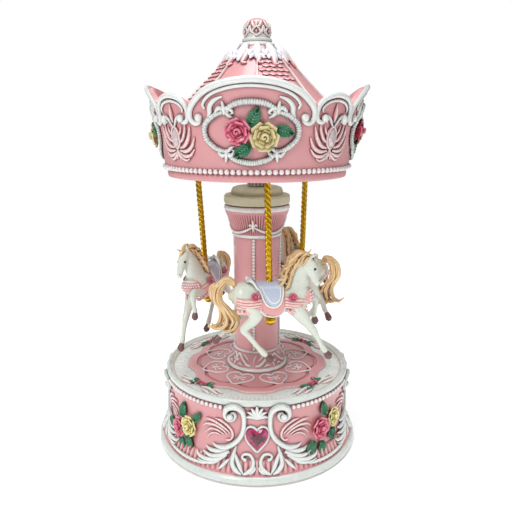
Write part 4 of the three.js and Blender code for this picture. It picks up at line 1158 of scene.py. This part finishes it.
def tube(points, sides=14, step=0.9, ridges=0, depth=0.14, twist=0.0):
    # an oval tube through (x, y, z, half width, half height), rounded off at both ends
    path = smoothPath([p if len(p) == 5 else tuple(p) + (p[3],) for p in points], step)
    along = np.gradient(path[:, :3], axis=0)
    along /= np.linalg.norm(along, axis=1, keepdims=True)
    outward = np.array([0, 1.0, 0])
    side = outward - along * (along @ outward)[:, None]
    side /= np.maximum(np.linalg.norm(side, axis=1, keepdims=True), 1e-6)
    up = np.cross(along, side)
    first, last = path[0, 3], path[-1, 3]
    rings = [(path[0, :3] - along[0] * first * 0.75, side[0], up[0], first * 0.45, path[0, 4] * 0.45, 0)]
    rings += [(path[i, :3], side[i], up[i], path[i, 3], path[i, 4], i) for i in range(len(path))]
    rings += [(path[-1, :3] + along[-1] * last * 0.75, side[-1], up[-1], last * 0.45,
               path[-1, 4] * 0.45, len(path))]
    verts, faces, relief = [], [], []
    for centre, s, u, wide, high, i in rings:
        for k in range(sides):
            a = 2 * math.pi * k / sides
            wave = math.cos(ridges * a + twist * i * step)
            grow = 1 + depth * wave if ridges else 1
            verts.append(centre + s * wide * grow * math.cos(a) + u * high * grow * math.sin(a))
            relief.append(0.5 + 0.5 * wave if ridges else 0.6)
    for i in range(len(rings) - 1):
        for k in range(sides):
            a, b = i * sides + k, i * sides + (k + 1) % sides
            faces.append((a, a + sides, b + sides, b))
    faces.append(tuple(range(sides)))
    faces.append(tuple(range(len(rings) * sides - 1, (len(rings) - 1) * sides - 1, -1)))
    item = newObject("tube", verts, (), faces)
    setRelief(item, relief)
    return cleaned(item, 0.001)


legs = {
    "reach": [(13.5, 3.4, 9.5, 4.3, 5.6), (18.4, 4.0, 2.4, 3.5, 4.2), (22.6, 4.3, -3.6, 2.4, 2.7),
              (25.2, 4.4, -7.2, 2.2, 2.5), (27.6, 4.4, -11.6, 1.5, 1.7), (30.2, 4.4, -17.0, 1.4, 1.55),
              (31.4, 4.4, -19.4, 1.75, 1.95), (33.0, 4.4, -21.6, 1.4, 1.5)],
    "tuck": [(15.0, -3.4, 10.0, 4.1, 5.2), (21.4, -4.2, 10.4, 3.2, 3.8), (26.6, -4.5, 10.8, 2.3, 2.7),
             (28.6, -4.6, 8.6, 2.0, 2.2), (28.6, -4.6, 4.6, 1.5, 1.6), (28.2, -4.6, 1.2, 1.4, 1.5),
             (27.6, -4.6, -0.4, 1.7, 1.8), (27.9, -4.6, -1.8, 1.4, 1.5)],
    "under": [(-13.0, 3.2, 12.0, 5.0, 6.6), (-9.6, 4.0, 6.2, 4.2, 5.2), (-11.0, 4.3, 1.8, 3.3, 3.8),
              (-15.0, 4.3, -1.6, 2.3, 2.8), (-16.6, 4.2, -4.0, 2.0, 2.3), (-13.4, 4.2, -8.4, 1.5, 1.7),
              (-8.4, 4.2, -15.4, 1.4, 1.55), (-5.6, 4.2, -19.0, 1.75, 1.95),
              (-3.4, 4.2, -21.2, 1.4, 1.5)],
    "back": [(-15.0, -3.2, 12.0, 4.9, 6.2), (-16.6, -3.9, 6.0, 4.1, 4.9), (-20.6, -4.1, 1.4, 2.8, 3.3),
             (-24.8, -4.1, -1.8, 2.1, 2.5), (-26.8, -4.1, -4.0, 1.7, 1.9), (-28.6, -4.1, -7.4, 1.6, 1.75),
             (-30.6, -4.1, -9.6, 1.45, 1.55)],
}
hooves = {
    "reach": [(32.9, 4.4, -21.8, 1.5, 1.6), (34.2, 4.4, -23.4, 2.1, 2.2), (35.0, 4.4, -24.6, 2.3, 2.4)],
    "tuck": [(27.9, -4.6, -1.9, 1.5, 1.6), (28.3, -4.6, -3.6, 2.0, 2.1), (28.6, -4.6, -5.0, 2.2, 2.3)],
    "under": [(-3.3, 4.2, -21.3, 1.5, 1.6), (-1.9, 4.2, -22.8, 2.1, 2.2), (-0.9, 4.2, -23.8, 2.3, 2.4)],
    "back": [(-30.6, -4.1, -9.7, 1.5, 1.6), (-32.2, -4.1, -11.6, 2.0, 2.1), (-33.2, -4.1, -12.8, 2.2, 2.3)],
}
neck = [(12.0, 0, 16.0, 6.4, 7.8), (16.4, 0.2, 22.4, 5.2, 7.4), (19.6, 0.7, 28.4, 4.2, 6.2),
        (22.0, 1.1, 33.4, 3.5, 4.8), (23.8, 1.4, 36.4, 2.9, 3.4)]
head = [(22.6, 1.4, 36.4, 2.6, 2.7), (25.4, 2.0, 34.6, 3.1, 3.5), (27.0, 2.8, 31.6, 3.1, 3.6),
        (27.8, 3.5, 28.2, 2.5, 2.9), (28.1, 4.1, 25.0, 2.0, 2.3), (28.1, 4.5, 22.8, 1.9, 2.1),
        (27.7, 4.6, 21.6, 1.5, 1.6)]
jaw = [(24.0, 2.0, 33.0, 2.7, 3.4), (25.0, 2.7, 29.8, 2.3, 2.4), (26.4, 3.8, 25.6, 1.5, 1.5),
       (26.9, 4.3, 22.6, 1.2, 1.2)]
ears = [[(26.2, 3.6, 37.4, 1.2, 0.8), (28.6, 4.3, 38.9, 1.0, 0.6), (30.8, 4.8, 39.6, 0.25, 0.25)],
        [(25.0, -0.4, 38.0, 1.2, 0.8), (26.8, -1.0, 40.2, 1.0, 0.6), (28.4, -1.4, 41.8, 0.25, 0.25)]]
lids = [[(28.6, 4.7, 31.6, 0.35, 0.3), (29.6, 4.7, 31.3, 0.4, 0.35), (30.3, 4.1, 30.3, 0.3, 0.3)],
        [(29.7, 4.6, 27.9, 0.3, 0.3), (30.2, 4.1, 26.0, 0.35, 0.3), (30.0, 4.3, 24.4, 0.3, 0.3)]]


def oneBody():
    parts = [tube([(s, 0, z, w, h) for s, z, w, h in torso], 24, 1.0), tube(neck, 18),
             tube(head, 18, 0.6), tube(jaw, 14, 0.6)]
    parts += [tube(points, 14, 0.8) for points in legs.values()]
    parts += [tube(points, 10, 0.5) for points in ears + lids]
    muscles = [(17.4, 4.6, 12.4, 5.2, 2.4, 6.0), (17.4, -4.6, 12.4, 5.2, 2.4, 6.0),
               (-14.6, 4.8, 14.6, 6.2, 2.8, 7.2), (-14.6, -4.8, 14.6, 6.2, 2.8, 7.2),
               (21.8, 0, 14.6, 3.6, 4.6, 5.4)]
    for x, y, z, a, b, c in muscles:
        bump = ball(20, 12, 1)
        bump.data.transform(Matrix.Translation((x, y, z)) @ Matrix.Diagonal((a, b, c, 1)))
        parts.append(bump)
    body = joined("horseBody", parts)
    pick(body)
    body.data.remesh_voxel_size = horse["voxel"]
    bpy.ops.object.voxel_remesh()
    soft = body.modifiers.new("soft", "SMOOTH")
    soft.factor = 0.5
    soft.iterations = horse["smooth"]
    bpy.ops.object.modifier_apply(modifier="soft")
    setRelief(body, 0)
    return body


def onTorso(s, z, lift, side=1, hang=-0.55):
    # a place on the horse's flank, lifted off the skin; lower than hang it drops straight
    table = np.array(torso)
    zc, wide, high = (np.interp(s, table[:, 0], table[:, k]) for k in (1, 2, 3))
    q = (z - zc) / high
    top = np.clip(q, hang, 0.999)
    rise = np.maximum(0, q - 1) * high
    outward = wide * np.sqrt(1 - top ** 2) + lift * np.sqrt(1 - top ** 2)
    return np.column_stack([s, side * outward, np.where(q < hang, z, zc + (high + lift) * top + rise)])


def tack(name, strokes, lift, side=1, **more):
    # raised lines on the flank, given as (along, up, half width)
    p, faces, relief = strokeMesh(strokes, **more)
    item = newObject(name, onTorso(p[:, 0], p[:, 1], p[:, 2] + lift, side), (), faces)
    setRelief(item, relief)
    return cleaned(item, 0.0005) if side < 0 else item


def patch(name, back, front, low, high, lift, thick=0.5, steps=26):
    # a cloth panel over the back and both flanks; back and front give its edges from the top down
    verts, faces = [], []
    table = np.array(torso)
    angles = np.linspace(-1, 1, steps * 2 + 1)
    for layer in (lift, lift - thick):
        for t in angles:
            a = abs(t)
            sBack, sFront = np.interp(a, back[0], back[1]), np.interp(a, front[0], front[1])
            for u in np.linspace(0, 1, 15):
                s = sBack + (sFront - sBack) * u
                zc, wide, tall = (float(np.interp(s, table[:, 0], table[:, k])) for k in (1, 2, 3))
                turn = t * math.radians(low)
                drop = max(0.0, abs(turn) - math.radians(115))
                turn = math.copysign(min(abs(turn), math.radians(115)), turn)
                rim = 0.18 * math.sin(math.pi * u) ** 0.5
                verts.append((s, (wide + layer + rim) * math.sin(turn),
                              zc + (tall + layer + rim) * math.cos(turn) - drop * 8.5))
    n, m = len(angles), 15
    for i in range(n - 1):
        for j in range(m - 1):
            a = i * m + j
            faces.append((a, a + 1, a + m + 1, a + m))
            b = n * m + a
            faces.append((b, b + m, b + m + 1, b + 1))
    for i in range(n - 1):
        for j in (0, m - 1):
            a, b = i * m + j, n * m + i * m + j
            faces.append((a, a + m, b + m, b))
    for j in range(m - 1):
        for i in (0, n - 1):
            a, b = i * m + j, n * m + i * m + j
            faces.append((a, b, b + 1, a + 1))
    item = newObject(name, verts, (), faces)
    cleaned(item, 0.0005)
    setRelief(item, 0.35)
    return item


def hairLocks(locks):
    return joined("locks", [tube(points, 12, 0.5, ridges=4, depth=0.17, twist=0.35) for points in locks])


def oneMane():
    crest = [(26.2, 1.6, 38.2), (24.0, 1.2, 38.8), (21.8, 0.9, 38.0), (19.8, 0.6, 35.6),
             (18.0, 0.4, 32.6), (16.0, 0.2, 29.4), (14.0, 0, 26.2)]
    locks = []
    for i, (x, y, z) in enumerate(crest):
        wave = 1.0 if i % 2 else -0.4
        for side in (1, -1):
            out = side * (1.6 + 0.5 * i)
            locks.append([(x, y + out * 0.3, z, 1.1, 0.9), (x - 2.6, y + out * 0.8, z + 1.6, 1.6, 1.1),
                          (x - 5.4, y + out, z - 0.2 + wave, 1.5, 1.0),
                          (x - 7.6, y + out * 1.05, z - 3.4, 1.2, 0.9),
                          (x - 9.8, y + out, z - 4.8 + wave, 0.9, 0.7),
                          (x - 11.4, y + out, z - 3.6, 0.4, 0.4)])
            locks.append([(x - 0.5, y + out * 0.5, z - 0.5, 1.0, 0.8),
                          (x - 2.4, y + out * 1.25, z - 1.4, 1.3, 0.9),
                          (x - 4.0, y + out * 1.35, z - 4.4, 1.2, 0.8),
                          (x - 6.2, y + out * 1.3, z - 6.4, 0.8, 0.6),
                          (x - 7.6, y + out * 1.25, z - 5.4, 0.35, 0.35)])
    locks += [[(26.0, 1.6, 38.6, 1.0, 0.9), (28.2, 2.4, 38.0, 1.2, 0.8), (29.4, 2.9, 35.6, 0.9, 0.7),
               (28.6, 3.0, 33.8, 0.35, 0.35)]]
    return hairLocks(locks)


def oneTail():
    middle = [(-19.6, 0, 20.6), (-22.6, 0.2, 25.0), (-27.2, 0.4, 25.8), (-31.4, 0.6, 21.4),
              (-31.6, 0.8, 15.0), (-27.4, 1.0, 9.2), (-24.6, 1.0, 3.4), (-26.6, 1.0, -1.6),
              (-31.6, 1.0, -2.6), (-35.0, 1.0, 0.2)]
    locks = []
    for i, (a, b) in enumerate([(0, 0), (1.7, 0.5), (-1.7, 0.4), (3.0, 0), (-2.9, 0.1), (1.0, 1.9),
                                (-1.0, 1.8), (0.8, -1.7), (-1.2, -1.6), (2.2, 1.2)]):
        lock = []
        for j, (x, y, z) in enumerate(middle[:10 - (i % 3)]):
            spread = min(1.0, j / 3) * (1 + 0.12 * j)
            grow = (1.0, 1.5, 1.8, 1.9, 1.9, 1.8, 1.6, 1.4, 1.1, 0.5)[j] * (0.86 if i else 1.05)
            lock.append((x + a * spread * (0.6 if 2 < j < 6 else 1.0), y + b * spread,
                         z + a * spread * (0.6 if j < 3 else -0.25) + 0.4 * math.sin(i + j), grow,
                         grow * 0.8))
        tip = lock[-1]
        lock[-1] = tip[:3] + (0.5, 0.4)
        locks.append(lock)
    locks += [[(-26.0, 1.6, 6.0, 1.3, 1.0), (-21.6, 1.8, 3.0, 1.3, 1.0), (-20.0, 1.8, -2.0, 1.1, 0.9),
               (-22.8, 1.8, -5.8, 0.8, 0.7), (-25.0, 1.8, -5.4, 0.35, 0.35)],
              [(-27.0, -0.2, 7.0, 1.3, 1.0), (-22.0, -0.4, 6.4, 1.4, 1.0), (-19.2, -0.4, 2.0, 1.1, 0.9),
               (-20.6, -0.4, -3.0, 0.7, 0.6), (-23.4, -0.4, -4.6, 0.35, 0.35)]]
    return hairLocks(locks)


def bothSides(strokes, lift, **more):
    return [tack("tack", strokes, lift, 1, **more), tack("tack", strokes, lift, -1, **more)]


seat = patch("seat", ([0, 0.25, 0.6, 0.85, 1], [-8.4, -8.0, -5.4, -3.6, -0.6]),
             ([0, 0.25, 0.6, 0.85, 1], [6.4, 7.4, 6.4, 5.2, 2.6]), 108, 0, 0.95)
apron = patch("apron", ([0, 0.4, 0.8, 0.93, 1], [-6.4, -6.4, -6.2, -4.2, -1.4]),
              ([0, 0.4, 0.8, 0.93, 1], [7.4, 7.6, 7.6, 5.8, 3.0]), 148, 0, 0.55)
saddleEdge = [[(-8.2, 21.8, 0.4), (-6.2, 18.6, 0.55), (-4.8, 15.0, 0.55), (-2.6, 12.0, 0.6),
               (1.0, 10.6, 0.6), (4.4, 12.2, 0.6), (6.0, 15.4, 0.55), (6.8, 18.6, 0.55), (7.2, 21.8, 0.4)],
              [(-5.6, 21.6, 0.3), (-3.4, 17.4, 0.45), (-1.0, 14.2, 0.5), (1.6, 13.2, 0.5), (4.2, 14.6, 0.5),
               (5.2, 18.0, 0.4), (5.4, 21.6, 0.3)]]
apronEdge = [[(-6.6, 10.4, 0.4), (-6.0, 7.6, 0.55), (-3.6, 5.2, 0.6), (0.6, 4.3, 0.6), (4.8, 5.2, 0.6),
              (7.2, 7.6, 0.55), (7.6, 10.4, 0.4)],
             [(-4.6, 9.4, 0.3), (-2.6, 7.4, 0.45), (-4.4, 6.4, 0.4), (-5.2, 7.8, 0.3)],
             [(6.2, 9.4, 0.3), (4.0, 7.4, 0.45), (5.8, 6.4, 0.4), (6.8, 7.8, 0.3)]]
rearRibs = [[(-20.6, z, 0.9), (-13, z - 0.9, 1.0), (-6.0, z - 0.6, 0.9)] for z in (15.8, 14.1, 12.4, 10.8)]
frontRibs = [[(7.6, z, 0.9), (15, z - 1.4, 1.0), (21.8, z - 2.8, 0.8)] for z in (15.2, 13.5, 11.9, 10.4)]


def scallop(x, top):
    return [(x, top, 0.6), (x + 0.5, top - 2.0, 0.95), (x + 1.9, top - 2.5, 0.9), (x + 2.3, top - 1.1, 0.6)]


ruffle = [scallop(x, 9.6) for x in np.arange(-20, -7, 2.5)]
ruffle += [scallop(x, 8.8 - 0.35 * i) for i, x in enumerate(np.arange(9.5, 21.5, 2.5))]
roll = tube([(-13.0, 0, 24.6, 1.5, 1.2), (-11.6, 2.6, 25.6, 1.5, 1.1), (-9.6, 4.8, 24.2, 1.1, 0.9),
             (-8.0, 6.6, 20.6, 0.7, 0.6)], 12, 0.6)
rollFar = copyOf(roll, Matrix.Diagonal((1, -1, 1, 1)))
knob = tube([(-12.0, 0, 24.0, 2.0, 1.8), (-13.2, 0, 26.6, 1.4, 1.3)], 12, 0.5)
pommel = tube([(7.0, -3.4, 23.0, 0.8, 0.8), (8.2, -1.6, 25.6, 1.2, 1.0), (8.4, 1.6, 25.6, 1.2, 1.0),
               (7.0, 3.4, 23.0, 0.8, 0.8)], 12, 0.5)
bridle = [tube([(28.9, 6.2, 25.4, 0.35), (30.2, 4.2, 26.2, 0.4), (28.6, 2.0, 25.4, 0.35)], 8, 0.4),
          tube([(27.4, 5.8, 30.6, 0.3), (28.2, 6.0, 28.0, 0.35), (28.6, 6.0, 25.6, 0.3)], 8, 0.4)]

pattern = {
    "Body": (oneBody(), horseWhite, "horse_pearl"),
    "Mane": (oneMane(), maneGold, "horse_pearl"),
    "Tail": (oneTail(), maneGold, "horse_pearl"),
    "Hooves": (joined("hooves", [tube(points, 12, 0.5) for points in hooves.values()]), hoofMaroon,
               "horse_pearl"),
    "Saddle": (joined("saddle", [seat, pommel]), saddleBlue, "horse_pearl"),
    "SaddleTrim": (joined("trim", bothSides(saddleEdge, 1.0, height=1.0, step=0.5)
                          + bothSides(apronEdge, 0.7, height=1.0, step=0.5)
                          + [roll, cleaned(rollFar), knob] + bridle), whiteResin, "horse_pearl"),
    "Apron": (apron, ribbonPink, "pink_resin"),
    "Ribbons": (joined("ribbons", bothSides(rearRibs + frontRibs, 0.25, height=1.0, step=0.6)),
                ribbonPink, "pink_resin"),
    "Ruffles": (joined("ruffles", bothSides(ruffle, 0.3, height=1.0, step=0.45)), ribbonPink, "pink_resin"),
}
breast = {"middle": (21.9, 0, 13.8), "half": (4.2, 7.0, 5.2)}
net = ball(28, 18, 1)
net.data.transform(Matrix.Translation(breast["middle"]) @ Matrix.Diagonal(breast["half"]).to_4x4())
setRelief(net, 0.2)
pattern["Breastplate"] = (net, ribbonPink, "pink_resin")
middleX, middleZ = breast["middle"][0], breast["middle"][2]
halfX, halfY, halfZ = breast["half"]
pearls = []
for row, z in enumerate((17.6, 16.0, 14.4, 12.8, 11.2, 9.8)):
    rise = ((z - middleZ) / halfZ) ** 2
    across = halfY * math.sqrt(1 - rise) * 0.93
    for y in np.arange(-across, across + 0.1, 2 * across / (10 - row % 2)):
        ahead = middleX + (halfX + 0.1) * math.sqrt(max(0.0, 1 - (y / halfY) ** 2 - rise))
        pearls.append(Matrix.Translation((ahead, y, z)))
pattern["BreastPearls"] = (placed(makeBead(0.6), pearls, "pearls", last=True), pearlBead, "horse_pearl")
flankRoses = []
for s, z, size in ((-9.6, 17.2, 2.6), (12.2, 15.6, 2.7)):
    for side in (1, -1):
        spot = onTorso(np.array([s]), np.array([z]), 0.9, side)[0]
        flankRoses.append(Matrix.Translation(spot) @ Matrix.Rotation(math.radians(-74 * side), 4, "X")
                          @ Matrix.Scale(size, 4))
pattern["Roses"] = (placed(rosePattern, flankRoses, "horseRoses"), rosePink, "pink_resin")
# two eyes, then two nostrils; the black nostril beads are painted shade, standing in for the shade in the
# nostril dimples
eyeSpots = [Matrix.Translation(spot) @ Matrix.Diagonal(grow) for spot, grow in
            (((28.4, 5.4, 30.9), (1.2, 0.8, 1.0, 1)), ((28.6, 0.3, 31.2), (1.2, 0.8, 1.0, 1)),
             ((29.7, 5.4, 23.6), (0.4, 0.4, 0.6, 1)), ((29.9, 3.4, 23.4), (0.4, 0.4, 0.6, 1)))]
pattern["Eyes"] = (placed(makeBead(0.85), eyeSpots, "eyes", last=True), blackEye, "black_plastic")


def settled(item):
    # the whole horse to its size, its head carried a little nearer the chest
    p = coords(item)
    back = np.clip((p[:, 2] - 18) / 12, 0, 1) * np.clip((p[:, 0] - 8) / 6, 0, 1)
    p[:, 0] -= 2.4 * back
    setCoords(item, p * horse["grow"])


def horsePlace(n):
    low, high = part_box(f"pole_ball_{n}")
    middle = (Vector(low) + Vector(high)) / 2
    hang = next(j for j in frame["joints"] if j["name"] == f"rider_{n}_hang")
    up = (Vector(hang["pos_m"]) - middle).normalized()
    forward = up.cross(Vector(hang["axis"])).normalized()
    if forward.cross(up).dot(Vector((middle.x, middle.y, 0))) < 0:
        forward.negate()
    outward = forward.cross(up)
    turn = Matrix((forward, outward, up)).transposed().to_4x4()
    return Matrix.Translation(middle * 1000) @ turn, (Vector(hang["pos_m"]) - middle).length * 1000


for shape, material, slot in pattern.values():
    settled(shape)
for n in (1, 2, 3):
    place, poleLength = horsePlace(n)
    for key, (shape, material, slot) in pattern.items():
        piece = copyOf(shape, place)
        if place.determinant() < 0:
            piece.data.flip_normals()
        piece.name = f"horse{n}{key}"
        done(piece, f"rider_{n}", material, [f"horse_{n}"] if key == "Body" else ())
    strands = []
    for k in range(3):
        turnAt = [(h, 2 * math.pi * (h / 9.5 + k / 3)) for h in np.arange(3.0, poleLength - 4.0, 0.55)]
        strands.append(tube([(1.35 * math.cos(a), 1.35 * math.sin(a), h, 0.62) for h, a in turnAt], 8, 0.6))
    rope = joined(f"poleTwist{n}", strands)
    rope.data.transform(place)
    done(rope, f"rider_{n}", goldBrass)
for shape, material, slot in pattern.values():
    bpy.data.objects.remove(shape)
print("horses ready")

for shape in (rosePattern, leafPattern):
    bpy.data.objects.remove(shape)
print("all pieces ready")
